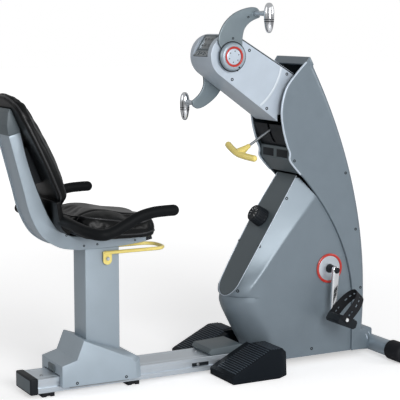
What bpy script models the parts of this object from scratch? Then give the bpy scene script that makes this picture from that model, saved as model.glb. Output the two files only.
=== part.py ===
"""Dual motion recumbent bike: a seat that slides on a floor rail, a pedal drive in a shell
tower, and hand cranks on an arm that tilts at the tower's top.

Metres, +Z up. The rider faces +X, so the rider's right is -Y. The origin lies on the floor,
under the middle of the object's box. Heights are above the floor, and lengths named as
"ahead" or "behind" are measured along X from the pedal crank's axis.
"""

from math import atan2, cos, hypot, pi, radians, sin, sqrt

import bmesh
import bpy
import numpy as np
from mathutils import Matrix, Vector

# Driving dimensions
CRANK_X = 0.5158
CRANK_HEIGHT = 0.371
CLEARANCE = 0.0003
RUNNING_CLEARANCE = 0.0004
SHELL_WALL = 0.003

# Drive unit
UNIT_BASE_HEIGHT = 0.028
LOWER_HALF_WIDTH = 0.108
TOWER_HALF_WIDTH = 0.118
PANEL_HALF_WIDTH = 0.070
SEAM_TOP_HEIGHT = 0.735
SEAM_TOP_AHEAD = -0.1254
PANEL_TOP = (-0.128, SEAM_TOP_HEIGHT + 0.010)
PANEL_ANGLE = radians(57.9)
PANEL_LENGTH = 0.544
PANEL_THICKNESS = 0.004
PANEL_BOW = 0.006
PANEL_SPREAD = 0.009
TOWER_TOP_HEIGHT = 1.198
TOWER_NOSE_AHEAD = 0.171
TOWER_NOSE_HEIGHT = 0.26
TOWER_TOP_AHEAD = -0.0982
TOWER_SWEEP = (TOWER_NOSE_AHEAD - TOWER_TOP_AHEAD) / (TOWER_TOP_HEIGHT - TOWER_NOSE_HEIGHT) ** 2
SEAM_AHEAD = 0.108
SEAM_HEIGHT = 0.22
SEAM_SWEEP = (SEAM_AHEAD - SEAM_TOP_AHEAD) / (SEAM_TOP_HEIGHT - SEAM_HEIGHT) ** 2
TOWER_NOSE_RADIUS = 0.030
TOWER_RIM_DEPTH = 0.010
TOWER_LIP_DEPTH = 0.022
CHIN_RADIUS = 0.115
FACET_WIDTH = 0.135

# Arm and hand cranks
PIVOT = (-0.030, SEAM_TOP_HEIGHT + 0.52916 * (TOWER_TOP_HEIGHT - SEAM_TOP_HEIGHT))
ARM_HUB = (PIVOT[0] - 0.403, PIVOT[1] + 0.223)
DRUM_RADIUS = 0.082
ARM_HALF_WIDTH = 0.083
ARM_TOP_SLOPE = radians(30.5)
ARM_BOTTOM_SLOPE = radians(35.5)
ARM_WALL = 0.003
SLOT_COVER_RADIUS = 0.194
SLOT_COVER_START = radians(192)
SLOT_COVER_END = radians(220.5)
ARM_TILT = radians(12)
HAND_RADIUS = 0.188
HAND_ANGLE = radians(57.5)
HAND_OPPOSITION = radians(197)
HAND_PLATE_THICKNESS = 0.009
HAND_PLATE_INNER = 0.0875
HAND_HUB_RADIUS = 0.054
HAND_HUB_DEPTH = 0.016
HAND_AXLE_RADIUS = 0.010
HANDLE_SPREAD = 0.190
HANDLE_RADIUS = 0.019
HANDLE_LENGTH = 0.110
HANDLE_SHARE_ABOVE = 0.35
HANDLE_PIN_RADIUS = 0.0045

# Pedal drive
CRANK_LENGTH = 0.178
CRANK_LEAN = radians(4)
CRANK_ARM_PLANE = 0.155
CRANK_ARM_THICKNESS = 0.016
SPINDLE_RADIUS = 0.0085
CRANK_DISC_RADIUS = 0.0585
CRANK_DISC_THICKNESS = 0.005
PEDAL_SPAN = 0.088
PEDAL_LENGTH = 0.088
PEDAL_HEIGHT = 0.036
PEDAL_TILT = radians(22)
PEDAL_LEAD = 0.008
PEDAL_DROP = 0.008
PEDAL_PIN_RADIUS = 0.006
STRAP_TILT = radians(45)
STRAP_WIDTH = 0.044
STRAP_LEAD = 0.006
STRAP_RISE = 0.122
STRAP_THICKNESS = 0.003
PULLEY_RADIUS = 0.120
PULLEY_PLANE = 0.061
PULLEY_THICKNESS = 0.012
BELT_RATIO = 4
BELT_THICKNESS = 0.002
FLYWHEEL_RADIUS = 0.130
FLYWHEEL_THICKNESS = 0.025
FLYWHEEL_BEHIND = 0.205
FLYWHEEL_HEIGHT = 0.200
FLYWHEEL_AXLE_RADIUS = 0.008

# Frame inside the shells
SPINE_HALF_WIDTH = 0.030
UPRIGHT_SIDE = 0.050
BEARING_RADIUS = 0.024
PIVOT_AXLE_RADIUS = 0.009
ARM_EAR_THICKNESS = 0.010

# Rail and floor
RAIL_REAR = -1.208
RAIL_FRONT = -0.328
RAIL_HALF_WIDTH = 0.073
RAIL_BOTTOM = 0.016
RAIL_TOP = 0.070
RAIL_WALL = 0.006
RAIL_CAP_LENGTH = 0.030
STABILISER_AHEAD = 0.235
STABILISER_TUBE_RADIUS = 0.032
STABILISER_CAP_RADIUS = 0.039
STABILISER_HALF_LENGTH = 0.300
STABILISER_CAP_LENGTH = 0.090
PLATFORM_REAR = -0.512
PLATFORM_FRONT = -0.262
PLATFORM_HALF_SPAN = 0.250
PLATFORM_LOW = 0.034
PLATFORM_HIGH = 0.112

# Seat
POST_REAR = -1.014
POST_FRONT = -0.880
POST_HALF_WIDTH = 0.055
CARRIAGE_HALF_WIDTH = 0.100
SEAT_FRAME_HALF_WIDTH = 0.065
SEAT_FRAME_BOTTOM = 0.522
SEAT_FRAME_PLATE = 0.007
SEAT_HALF_WIDTH = 0.195
BACK_HALF_WIDTH = 0.165
ARMREST_SPREAD = 0.375
ARMREST_RADIUS = 0.0195
CROSS_TUBE_RADIUS = 0.016
ARMREST_CROSSING = (-1.121, 0.640)
LEVER_ROD_RADIUS = 0.0068
LEVER_PIVOT = (-0.930, 0.482)

# Controls
KNOB_RADIUS = 0.037
KNOB_HEIGHT = 0.049
KNOB_ALONG_PANEL = 0.207
CONSOLE_HALF_WIDTH = 0.055
CONSOLE_LENGTH = 0.093
CONSOLE_DEPTH = 0.024
CONSOLE_FACE_DISTANCE = 0.0710
CONSOLE_ANGLE = radians(56.6)
KEY_TRAVEL = 0.001
LOCK_ANGLE = radians(31)
LOCK_CROSSING = (PIVOT[0] - 0.183, PIVOT[1] - 0.067)
LOCK_ROD_RADIUS = 0.005
LOCK_REACH = 0.149
LOCK_GRIP_SPAN = 0.186

SIDES = {"right": -1, "left": 1}

# The seat frame's two edges in the side view, from the top of the back to the front end
FRAME_OUTER = [
    (-1.297, 0.940),
    (-1.272, 0.845),
    (-1.247, 0.750),
    (-1.222, 0.657),
    (-1.180, 0.581),
    (-1.117, 0.537),
    (-1.048, SEAT_FRAME_BOTTOM + 0.001),
    (-1.014, SEAT_FRAME_BOTTOM),
    (-0.878, SEAT_FRAME_BOTTOM + 0.002),
    (-0.775, 0.534),
]
FRAME_INNER = [
    (-1.2545, 0.952),
    (-1.236, 0.870),
    (-1.212, 0.790),
    (-1.184, 0.715),
    (-1.155, 0.650),
    (-1.125, 0.608),
    (-1.088, 0.582),
    (-1.048, 0.572),
    (-0.900, 0.568),
    (-0.775, 0.563),
]

# The cushions' undersides: a side-view pair, the direction they are padded in and the thickness
SEAT_PATH = [
    (-1.092, 0.5930, radians(84), 0.083),
    (-1.048, 0.5740, radians(90), 0.098),
    (-1.000, 0.5714, radians(90), 0.102),
    (-0.950, 0.5701, radians(90), 0.097),
    (-0.885, 0.5680, radians(90), 0.084),
    (-0.820, 0.5655, radians(90), 0.079),
    (-0.764, 0.5632, radians(88), 0.080),
    (-0.756, 0.5560, radians(84), 0.086),
    (-0.746, 0.5530, radians(78), 0.084),
]
BACK_PATH = [
    (-1.131, 0.666, radians(4), 0.030),
    (-1.145, 0.722, radians(13), 0.044),
    (-1.171, 0.775, radians(22), 0.054),
    (-1.198, 0.838, radians(24), 0.055),
    (-1.226, 0.900, radians(25), 0.053),
    (-1.2525, 0.958, radians(25), 0.050),
    (-1.2865, 1.035, radians(26), 0.046),
    (-1.3100, 1.083, radians(30), 0.042),
]

# Colours, roughness and metallic value of each finish
FINISHES = {
    "silver_shell": ((0.30, 0.36, 0.40), 0.38, 0.35),
    "light_silver": ((0.52, 0.60, 0.68), 0.35, 0.35),
    "dark_grey": ((0.10, 0.125, 0.13), 0.45, 0.10),
    "black_plastic": ((0.012, 0.014, 0.017), 0.45, 0.0),
    "vinyl": ((0.012, 0.012, 0.014), 0.42, 0.0),
    "rubber": ((0.015, 0.016, 0.018), 0.75, 0.0),
    "yellow": ((0.80, 0.58, 0.08), 0.35, 0.0),
    "aluminium": ((0.62, 0.66, 0.70), 0.30, 0.9),
    "chrome": ((0.80, 0.81, 0.83), 0.10, 1.0),
    "steel": ((0.35, 0.36, 0.38), 0.40, 0.9),
    "display": ((0.10, 0.12, 0.12), 0.20, 0.0),
}


def start_scene():
    """Empties the scene and makes one collection for the parts and one for the cutters."""
    for obj in list(bpy.data.objects):
        bpy.data.objects.remove(obj)
    made = []
    for name in ("dual_motion_recumbent_bike", "cutters"):
        collection = bpy.data.collections.new(name)
        bpy.context.scene.collection.children.link(collection)
        made.append(collection)
    return made


PARTS, CUTTERS = start_scene()


def finish(name):
    """The material of one finish, made the first time it is asked for."""
    found = bpy.data.materials.get(name)
    if found:
        return found
    colour, roughness, metallic = FINISHES[name]
    made = bpy.data.materials.new(name)
    made.use_nodes = True
    shader = made.node_tree.nodes["Principled BSDF"]
    shader.inputs["Base Color"].default_value = (*colour, 1)
    shader.inputs["Roughness"].default_value = roughness
    shader.inputs["Metallic"].default_value = metallic
    return made


def add(name, data, finish_name):
    """Links new object data as a part in its own finish."""
    obj = bpy.data.objects.new(name, data)
    PARTS.objects.link(obj)
    material = finish(finish_name).copy()
    material.name = name + "_" + finish_name
    obj.data.materials.clear()
    obj.data.materials.append(material)
    return obj


def helper(obj):
    """Moves an object to the cutters, which no render shows."""
    for collection in list(obj.users_collection):
        collection.objects.unlink(obj)
    CUTTERS.objects.link(obj)
    obj.hide_render = True
    obj.display_type = "WIRE"
    return obj


def cut(obj, cutter):
    """Takes the cutter's shape out of the object."""
    modifier = obj.modifiers.new("cut", "BOOLEAN")
    modifier.object = helper(cutter)
    modifier.operation = "DIFFERENCE"
    modifier.solver = "EXACT"


def join(obj, other):
    """Welds another shape to the object."""
    modifier = obj.modifiers.new("join", "BOOLEAN")
    modifier.object = helper(other)
    modifier.operation = "UNION"
    modifier.solver = "EXACT"


def bevel(obj, width, segments=1, angle=radians(35)):
    """Rounds the object's edges that turn by more than the angle."""
    modifier = obj.modifiers.new("bevel", "BEVEL")
    modifier.width = width
    modifier.segments = segments
    modifier.limit_method = "ANGLE"
    modifier.angle_limit = angle


def smooth(obj, angle=radians(35)):
    """Shades a round piece smooth, with its true edges kept."""
    obj.data.shade_smooth()
    obj.data.set_sharp_from_angle(angle=angle)


def at(point, y=0.0):
    """A world place from a side-view pair: how far ahead of the crank axis, and the height."""
    return Vector((CRANK_X + point[0], y, point[1]))


def box(name, finish_name, ahead, across, heights):
    """A block between two values along each direction."""
    mesh = bpy.data.meshes.new(name)
    shape = bmesh.new()
    bmesh.ops.create_cube(shape, size=1)
    size = Vector((ahead[1] - ahead[0], across[1] - across[0], heights[1] - heights[0]))
    middle = at(((ahead[0] + ahead[1]) / 2, (heights[0] + heights[1]) / 2), sum(across) / 2)
    bmesh.ops.scale(shape, vec=size, verts=shape.verts)
    shape.to_mesh(mesh)
    shape.free()
    obj = add(name, mesh, finish_name)
    obj.location = middle
    return obj


def cylinder(name, finish_name, start, end, radius, sides=24, end_radius=None):
    """A round bar or cone between two world places."""
    mesh = bpy.data.meshes.new(name)
    shape = bmesh.new()
    along = end - start
    bmesh.ops.create_cone(
        shape,
        cap_ends=True,
        segments=sides,
        radius1=radius,
        radius2=radius if end_radius is None else end_radius,
        depth=along.length,
    )
    shape.to_mesh(mesh)
    shape.free()
    obj = add(name, mesh, finish_name)
    obj.location = (start + end) / 2
    obj.rotation_euler = Vector((0, 0, 1)).rotation_difference(along).to_euler()
    smooth(obj)
    return obj


def cross_bar(name, finish_name, centre, low, high, radius, sides=24):
    """A round bar along Y, between two values of Y."""
    return cylinder(name, finish_name, at(centre, low), at(centre, high), radius, sides)


def turned(name, finish_name, profile, centre, direction, steps=24):
    """A solid of revolution. The profile's pairs are (radius, height), from top to bottom. One
    that starts off the axis is closed into a ring."""
    mesh = bpy.data.meshes.new(name)
    points = [(radius, 0.0, height) for radius, height in profile]
    edges = [(i, i + 1) for i in range(len(points) - 1)]
    if profile[0][0] > 0:
        edges.append((len(points) - 1, 0))
    mesh.from_pydata(points, edges, [])
    obj = add(name, mesh, finish_name)
    obj.location = centre
    obj.rotation_euler = Vector((0, 0, 1)).rotation_difference(Vector(direction)).to_euler()
    screw = obj.modifiers.new("turn", "SCREW")
    screw.axis = "Z"
    screw.steps = steps
    screw.render_steps = steps
    screw.use_merge_vertices = True
    screw.merge_threshold = 0.00001
    return obj


def flat_shape(name, outlines, thickness):
    """A flat curve object in its own XY plane, thick to both sides. A second outline is a hole."""
    curve = bpy.data.curves.new(name, "CURVE")
    curve.dimensions = "2D"
    curve.fill_mode = "BOTH"
    curve.extrude = thickness / 2
    for outline in outlines:
        spline = curve.splines.new("POLY")
        spline.points.add(len(outline) - 1)
        spline.use_cyclic_u = True
        for point, (x, y) in zip(spline.points, outline):
            point.co = (x, y, 0, 1)
    obj = bpy.data.objects.new(name, curve)
    PARTS.objects.link(obj)
    return obj


def plate(name, finish_name, outlines, low, high):
    """A flat plate in the side view, between two values of Y. A second outline is a hole."""
    placed = [[(CRANK_X + ahead, height) for ahead, height in outline] for outline in outlines]
    obj = flat_shape(name, placed, high - low)
    obj.rotation_euler = (pi / 2, 0, 0)
    obj.location = (0, (low + high) / 2, 0)
    return as_mesh(obj, finish_name)


def as_mesh(curve_object, finish_name):
    """A curve object made a closed mesh object of the same name and place."""
    name = curve_object.name
    bpy.context.view_layer.update()
    evaluated = curve_object.evaluated_get(bpy.context.evaluated_depsgraph_get())
    mesh = bpy.data.meshes.new_from_object(evaluated)
    shape = bmesh.new()
    shape.from_mesh(mesh)
    bmesh.ops.remove_doubles(shape, verts=shape.verts, dist=0.00001)
    bmesh.ops.dissolve_limit(shape, angle_limit=radians(1), verts=shape.verts, edges=shape.edges)
    bmesh.ops.recalc_face_normals(shape, faces=shape.faces)
    shape.to_mesh(mesh)
    shape.free()
    place = curve_object.matrix_world.copy()
    data = curve_object.data
    bpy.data.objects.remove(curve_object)
    bpy.data.curves.remove(data)
    obj = add(name, mesh, finish_name)
    obj.matrix_world = place
    return obj


def tube(name, finish_name, points, radius, resolution=2):
    """A bent round bar through world places, closed at both ends."""
    curve = bpy.data.curves.new(name, "CURVE")
    curve.dimensions = "3D"
    curve.bevel_depth = radius
    curve.bevel_resolution = resolution
    curve.use_fill_caps = True
    spline = curve.splines.new("POLY")
    spline.points.add(len(points) - 1)
    for point, place in zip(spline.points, points):
        point.co = (*place, 1)
    obj = bpy.data.objects.new(name, curve)
    PARTS.objects.link(obj)
    return as_mesh(obj, finish_name)


def arc(centre, radius, start, end, count):
    """Points of an arc in the side view. Angles go from ahead towards up."""
    return [
        (centre[0] + radius * cos(angle), centre[1] + radius * sin(angle))
        for angle in np.linspace(start, end, count)
    ]


def smooth_path(points, count):
    """A Catmull-Rom curve through points of any dimension, as a list of tuples."""
    path = np.array(points, float)
    path = np.vstack([2 * path[0] - path[1], path, 2 * path[-1] - path[-2]])
    spans = len(points) - 1
    made = []
    for place in np.linspace(0, spans, count):
        first = min(int(place), spans - 1)
        t = place - first
        before, start, end, after = path[first : first + 4]
        made.append(
            tuple(
                0.5
                * (
                    2 * start
                    + (end - before) * t
                    + (2 * before - 5 * start + 4 * end - after) * t**2
                    + (3 * start - before - 3 * end + after) * t**3
                )
            )
        )
    return made


def grid_surface(name, finish_name, rows, wall, inside):
    """A shell: a grid of points given its wall, which lies towards the inside place."""
    height, width = rows.shape[:2]
    faces = [
        (i * width + j, i * width + j + 1, (i + 1) * width + j + 1, (i + 1) * width + j)
        for i in range(height - 1)
        for j in range(width - 1)
    ]
    mesh = bpy.data.meshes.new(name)
    mesh.from_pydata(rows.reshape(-1, 3).tolist(), [], faces)
    obj = add(name, mesh, finish_name)
    facing = sum(face.area * (face.center - inside).dot(face.normal) for face in mesh.polygons)
    if facing < 0:
        mesh.flip_normals()
    solid = obj.modifiers.new("wall", "SOLIDIFY")
    solid.thickness = wall
    solid.offset = -1
    solid.use_even_offset = True
    smooth(obj)
    return obj


def tower_front(height):
    """How far ahead the tower's front edge lies at a height: a parabola."""
    return TOWER_NOSE_AHEAD - TOWER_SWEEP * (height - TOWER_NOSE_HEIGHT) ** 2


def seam(height):
    """How far ahead the seam between the lower shell and the tower shell lies at a height."""
    above = max(height - SEAM_HEIGHT, 0)
    return SEAM_AHEAD - SEAM_SWEEP * above**2


def panel_point(along, out=0.0):
    """A side-view pair on the front panel, at a length down from its top and a depth out of it."""
    return (
        PANEL_TOP[0] - along * cos(PANEL_ANGLE) - out * sin(PANEL_ANGLE),
        PANEL_TOP[1] - along * sin(PANEL_ANGLE) + out * cos(PANEL_ANGLE),
    )


def panel_bow(along):
    """How far the panel's middle bows out of the straight line between its ends."""
    return PANEL_BOW * sin(pi * min(max(along / PANEL_LENGTH, 0), 1))


def panel_half(along, inset=0.0):
    """Half the width of the panel's opening: widest in the middle, round at the lower end."""
    straight = PANEL_LENGTH - PANEL_HALF_WIDTH
    if along < straight:
        return PANEL_HALF_WIDTH - inset + PANEL_SPREAD * sin(pi * max(along, 0) / straight)
    return sqrt(max((PANEL_HALF_WIDTH - inset) ** 2 - (along - straight) ** 2, 0))


def panel_ahead(along):
    """How far ahead the bowed panel lies, at the height of a length down from its top."""
    return panel_point(along)[0] - panel_bow(along) / sin(PANEL_ANGLE)


def tower_height(share):
    """The height at a share of the way up from the seam's top to the tower's top."""
    return SEAM_TOP_HEIGHT + share * (TOWER_TOP_HEIGHT - SEAM_TOP_HEIGHT)


# The rear edge of the tower's top, from its tip down to the neck
TOWER_REAR_EDGE = [
    (TOWER_TOP_AHEAD - 0.0018, TOWER_TOP_HEIGHT),
    (-0.164, tower_height(0.864)),
    (-0.209, tower_height(0.741)),
    (-0.228, tower_height(0.577)),
    (-0.222, tower_height(0.430)),
    (-0.203, tower_height(0.285)),
    (-0.190, tower_height(0.216)),
    (-0.188, tower_height(0.147)),
    (-0.141, tower_height(0.032)),
    (SEAM_TOP_AHEAD, SEAM_TOP_HEIGHT),
]

# The chin's rear edge on the middle plane, below the front panel
CHIN_EDGE = [
    panel_point(PANEL_LENGTH),
    (-0.4205, 0.262),
    (-0.411, 0.230),
    (-0.393, 0.194),
    (-0.372, 0.154),
    (-0.347, 0.108),
    (-0.301, UNIT_BASE_HEIGHT),
]


def tower_rear(height):
    """How far ahead the tower shell's rear edge lies at a height."""
    if height <= SEAM_TOP_HEIGHT:
        return seam(height)
    heights = [point[1] for point in TOWER_REAR_EDGE][::-1]
    places = [point[0] for point in TOWER_REAR_EDGE][::-1]
    return float(np.interp(height, heights, places))


def lower_rear(height):
    """The lower shell's rear edge at a height: how far ahead, and its half width there."""
    along = (PANEL_TOP[1] - height) / sin(PANEL_ANGLE)
    if along <= PANEL_LENGTH:
        return panel_ahead(along), max(panel_half(along), CLEARANCE)
    heights = [point[1] for point in CHIN_EDGE][::-1]
    places = [point[0] for point in CHIN_EDGE][::-1]
    return float(np.interp(height, heights, places)), CLEARANCE


def shared_heights():
    """The heights that both shells have points at, so that their edges meet along the seam. They
    are closer together beside the front panel's round end."""
    tip = panel_point(PANEL_LENGTH)[1]
    turns = np.arccos([0.25, 0.5, 0.7, 0.87, 1.0])
    end = tip + PANEL_HALF_WIDTH * sin(PANEL_ANGLE) * (1 - np.sin(turns))
    lower = np.linspace(UNIT_BASE_HEIGHT, tip, 7)
    return np.concatenate([lower, end, np.linspace(end[-1], SEAM_TOP_HEIGHT - 0.003, 10)[1:]])


def lower_shell(side_name):
    """One half of the lower drive cover: flat beside the pulley, with a facet next to the front
    panel and a rounded chin under it."""
    side = SIDES[side_name]
    tip = panel_point(PANEL_LENGTH)[1]
    shares = np.array([0, 0.03, 0.08, 0.16, 0.28, 0.45, 0.70, 1.0])
    rows = []
    for height in shared_heights():
        rear, half = lower_rear(height)
        edge = max(half, PANEL_HALF_WIDTH)
        front = seam(height) - 2 * CLEARANCE
        row = []
        for share in shares:
            ahead = rear + (front - rear) * share
            facet = edge + (LOWER_HALF_WIDTH - edge) * min((ahead - rear) / FACET_WIDTH, 1)
            round_in = min((ahead - rear) / CHIN_RADIUS, 1)
            chin = half + (LOWER_HALF_WIDTH - half) * sqrt(1 - (1 - round_in) ** 2)
            blend = min(max((height - tip) / 0.09, 0), 1)
            y = max(min(facet * blend + chin * (1 - blend), LOWER_HALF_WIDTH), half)
            row.append((CRANK_X + ahead, side * y, height))
        rows.append(row)
    name = "lower_shell_" + side_name
    inside = at((0, CRANK_HEIGHT))
    obj = grid_surface(name, "silver_shell", np.array(rows), SHELL_WALL, inside)
    hole = CRANK_DISC_RADIUS - 0.020
    centre = (0, CRANK_HEIGHT)
    cut(obj, cross_bar("crank_hole_" + side_name, "steel", centre, side * 0.09, side * 0.13, hole))
    half = SPINE_HALF_WIDTH + 0.0012
    spine_top = RAIL_TOP - 0.004
    cut(obj, box("spine_tunnel_" + side_name, "steel", (-0.45, 0), (-half, half), (0, spine_top)))
    beyond = sorted((side * CLEARANCE / 2, -side * 0.1))
    cut(obj, box("middle_plane_" + side_name, "steel", (-0.5, -0.2), beyond, (0, 0.4)))
    return obj


def tower_shell(side_name):
    """One half of the sickle-shaped tower cover, closed round the front and open to the arm."""
    side = SIDES[side_name]
    heights = np.concatenate(
        [
            shared_heights(),
            [tower_height(share) for share in (0, 0.032, 0.089, 0.147, 0.216, 0.285)],
            np.linspace(tower_height(0.356), TOWER_TOP_HEIGHT - TOWER_LIP_DEPTH, 11),
        ]
    )
    rows = []
    for height in heights:
        rear = tower_rear(height)
        front = tower_front(height)
        nose = min(TOWER_NOSE_RADIUS, 0.45 * (front - rear))
        row = [(rear, TOWER_HALF_WIDTH - TOWER_RIM_DEPTH), (rear, TOWER_HALF_WIDTH)]
        flat_end = front - nose
        row += [(rear + (flat_end - rear) * share, TOWER_HALF_WIDTH) for share in (0.5, 1)]
        for angle in (radians(30), radians(60), radians(90)):
            row.append(
                (flat_end + nose * sin(angle), TOWER_HALF_WIDTH - nose * (1 - cos(angle)))
            )
        row.append((front, CLEARANCE / 2))
        rows.append([(CRANK_X + ahead, side * y, height) for ahead, y in row])
    name = "tower_shell_" + side_name
    obj = grid_surface(name, "silver_shell", np.array(rows), SHELL_WALL, at((0.05, 0.5)))
    rim = TOWER_TOP_HEIGHT - TOWER_LIP_DEPTH
    lip = [(tower_front(TOWER_TOP_HEIGHT), TOWER_TOP_HEIGHT), TOWER_REAR_EDGE[0]]
    lip += [(tower_rear(rim - 0.002), rim - 0.002), (tower_rear(rim) + 0.006, rim - 0.006)]
    lip += [(tower_front(rim - 0.006) - 0.001, rim - 0.006), (tower_front(rim) - 0.0005, rim)]
    outer = TOWER_HALF_WIDTH - 0.0005
    low, high = sorted((side * CLEARANCE / 2, side * outer))
    top = plate("tower_lip_" + side_name, "silver_shell", [lip], low, high)
    join(obj, top)
    low, high = sorted((-side * 0.01, side * 0.13))
    cut(obj, plate("collar_arch_" + side_name, "steel", [COLLAR_ARCH], low, high))
    return obj


def front_panel():
    """The dark plate that faces the rider: bowed, round at its lower end, with the knob's hole."""
    inset = SHELL_WALL + 2 * CLEARANCE
    straight = PANEL_LENGTH - PANEL_HALF_WIDTH
    lengths = list(np.linspace(0.004, straight, 9))
    lengths += [
        straight + (PANEL_HALF_WIDTH - inset) * sin(angle)
        for angle in np.linspace(0, radians(72), 6)[1:]
    ]
    rows = []
    for along in lengths:
        half = panel_half(along, inset)
        place = (panel_ahead(along), PANEL_TOP[1] - along * sin(PANEL_ANGLE))
        rows.append([at(place, half * share) for share in np.linspace(-1, 1, 7)])
    centre = at((0, CRANK_HEIGHT))
    obj = grid_surface("front_panel", "dark_grey", np.array(rows), PANEL_THICKNESS, centre)
    base, normal = knob_seat()
    cut(obj, cylinder("knob_hole", "steel", base - normal * 0.03, base + normal * 0.03, 0.0065))
    return obj


def knob_seat():
    """The place on the panel that the knob's axis goes through, and the axis's direction."""
    along = KNOB_ALONG_PANEL
    slope = PANEL_BOW * pi / PANEL_LENGTH * cos(pi * along / PANEL_LENGTH)
    down = Vector((-cos(PANEL_ANGLE), 0, -sin(PANEL_ANGLE)))
    normal = Vector((-sin(PANEL_ANGLE), 0, cos(PANEL_ANGLE))) - down * slope
    return at(panel_point(along, panel_bow(along))), normal.normalized()


def resistance_knob():
    """The fluted dial on the front panel, with its stem through the panel."""
    place, normal = knob_seat()
    base = place + normal * (2 * CLEARANCE)
    profile = [
        (0.0, KNOB_HEIGHT),
        (KNOB_RADIUS - 0.008, KNOB_HEIGHT),
        (KNOB_RADIUS - 0.004, KNOB_HEIGHT - 0.002),
        (KNOB_RADIUS - 0.002, KNOB_HEIGHT - 0.006),
        (KNOB_RADIUS, 0.008),
        (KNOB_RADIUS, 0.0),
        (0.006, 0.0),
        (0.006, -0.022),
        (0.0, -0.022),
    ]
    return turned("resistance_knob", "black_plastic", profile, base, normal, 24)


def neck_cover():
    """The grey box between the tower shells, above the front panel."""
    low = PANEL_TOP[1] + 0.0025
    high = PIVOT[1] + SLOT_COVER_RADIUS * sin(SLOT_COVER_END) - 0.001
    profile = [(-0.186, 1), (-0.186, 0.545), (-0.142, 0.052), (-0.128, 0), (-0.060, 0)]
    profile += [(-0.060, 0.052), (-0.135, 0.109), (-0.180, 0.573), (-0.180, 0.943)]
    profile += [(-0.110, 0.943), (-0.110, 1)]
    outline = [(ahead, low + share * (high - low)) for ahead, share in profile]
    half = TOWER_HALF_WIDTH - TOWER_RIM_DEPTH - CLEARANCE
    return plate("neck_cover", "dark_grey", [outline], -half, half)


def slot_cover():
    """The black curved cover under the arm, with the open slot that the lock's rod travels in."""
    outer = SLOT_COVER_RADIUS
    start = SLOT_COVER_START
    end = SLOT_COVER_END
    outline = arc(PIVOT, outer, start, end, 9) + arc(PIVOT, outer - 0.004, end, start, 9)
    half = TOWER_HALF_WIDTH - TOWER_RIM_DEPTH - CLEARANCE
    obj = plate("slot_cover", "black_plastic", [outline], -half, half)
    rod_angle = atan2(LOCK_CROSSING[1] - PIVOT[1], LOCK_CROSSING[0] - PIVOT[0]) % (2 * pi)
    slot_half = LOCK_ROD_RADIUS + 0.003
    slot_end = rod_angle + ARM_TILT + 1.2 * slot_half / outer
    wide = [PIVOT] + arc(PIVOT, outer + 0.03, start - radians(4), slot_end, 9)
    inner = arc(PIVOT, outer - 0.03, slot_end, start - radians(4), 9)
    cutter = plate("slot_cutter", "steel", [wide[1:] + inner], -slot_half, slot_half)
    cut(obj, cutter)
    return obj


def base_frame():
    """The welded steel frame: a spine from the rail to the stabiliser, an upright to the arm's
    pivot, the crank's bearing shell, the flywheel's lugs and the slotted lock sector."""
    spine_low = RAIL_BOTTOM + RAIL_WALL + CLEARANCE
    spine_high = RAIL_TOP - RAIL_WALL - CLEARANCE
    half = SPINE_HALF_WIDTH
    front_end = STABILISER_AHEAD - STABILISER_TUBE_RADIUS - 2 * CLEARANCE
    heights = (spine_low, spine_high)
    obj = box("base_frame", "steel", (RAIL_FRONT - 0.24, front_end), (-half, half), heights)
    low = (0.020, spine_high - 0.010)
    foot = at(low)
    head = at(PIVOT)
    rise = head - foot
    section = (-UPRIGHT_SIDE / 2, UPRIGHT_SIDE / 2)
    upright = box("upright", "steel", section, section, (0, rise.length))
    upright.location = (foot + head) / 2
    upright.rotation_euler = (0, atan2(rise.x, rise.z), 0)
    join(obj, upright)
    sleeve_half = UPRIGHT_SIDE / 2 + 0.001
    sleeve = PIVOT_AXLE_RADIUS + 0.018
    join(obj, cross_bar("pivot_sleeve", "steel", PIVOT, -sleeve_half, sleeve_half, sleeve))
    crank = (0, CRANK_HEIGHT)
    join(obj, cross_bar("bearing_shell", "steel", crank, -0.046, 0.046, BEARING_RADIUS))
    axle = (-FLYWHEEL_BEHIND, FLYWHEEL_HEIGHT)
    for side in (-1, 1):
        lug = [
            (axle[0] - 0.020, axle[1] + 0.018),
            (axle[0] - 0.030, axle[1] - 0.020),
            (axle[0] - 0.045, spine_high - 0.012),
            (axle[0] + 0.045, spine_high - 0.012),
            (axle[0] + 0.030, axle[1] - 0.020),
            (axle[0] + 0.020, axle[1] + 0.018),
        ]
        low_y, high_y = sorted((side * (half - 0.006), side * (half + 0.002)))
        join(obj, plate(f"flywheel_lug_{side}", "steel", [lug], low_y, high_y))
    lock_sector(obj)
    bores = (
        ("pivot_bore", PIVOT, PIVOT_AXLE_RADIUS + CLEARANCE),
        ("crank_bore", crank, SPINDLE_RADIUS + RUNNING_CLEARANCE),
        ("flywheel_bore", axle, FLYWHEEL_AXLE_RADIUS + RUNNING_CLEARANCE),
    )
    for name, centre, radius in bores:
        cut(obj, cross_bar(name, "steel", centre, -0.08, 0.08, radius))
    return obj


def lock_sector(frame):
    """Two curved bars behind the slot cover that the arm's lock clamps, and their bracket."""
    outer = SLOT_COVER_RADIUS - 0.010
    thickness = 0.006
    start = radians(197)
    end = radians(214)
    slot_half = LOCK_ROD_RADIUS + 0.003
    for side in (-1, 1):
        bar = arc(PIVOT, outer, start, end, 6) + arc(PIVOT, outer - thickness, end, start, 6)
        low, high = sorted((side * slot_half, side * (slot_half + 0.016)))
        join(frame, plate(f"sector_bar_{side}", "steel", [bar], low, high))
        tip = arc(PIVOT, outer - thickness / 2, end, end, 1)[0]
        brace = [
            (tip[0] - 0.004, tip[1] + 0.004),
            (tip[0] + 0.004, tip[1] - 0.008),
            (0.002, PIVOT[1] - 0.152),
            (0.002, PIVOT[1] - 0.130),
        ]
        join(frame, plate(f"sector_brace_{side}", "steel", [brace], low, high))


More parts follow.
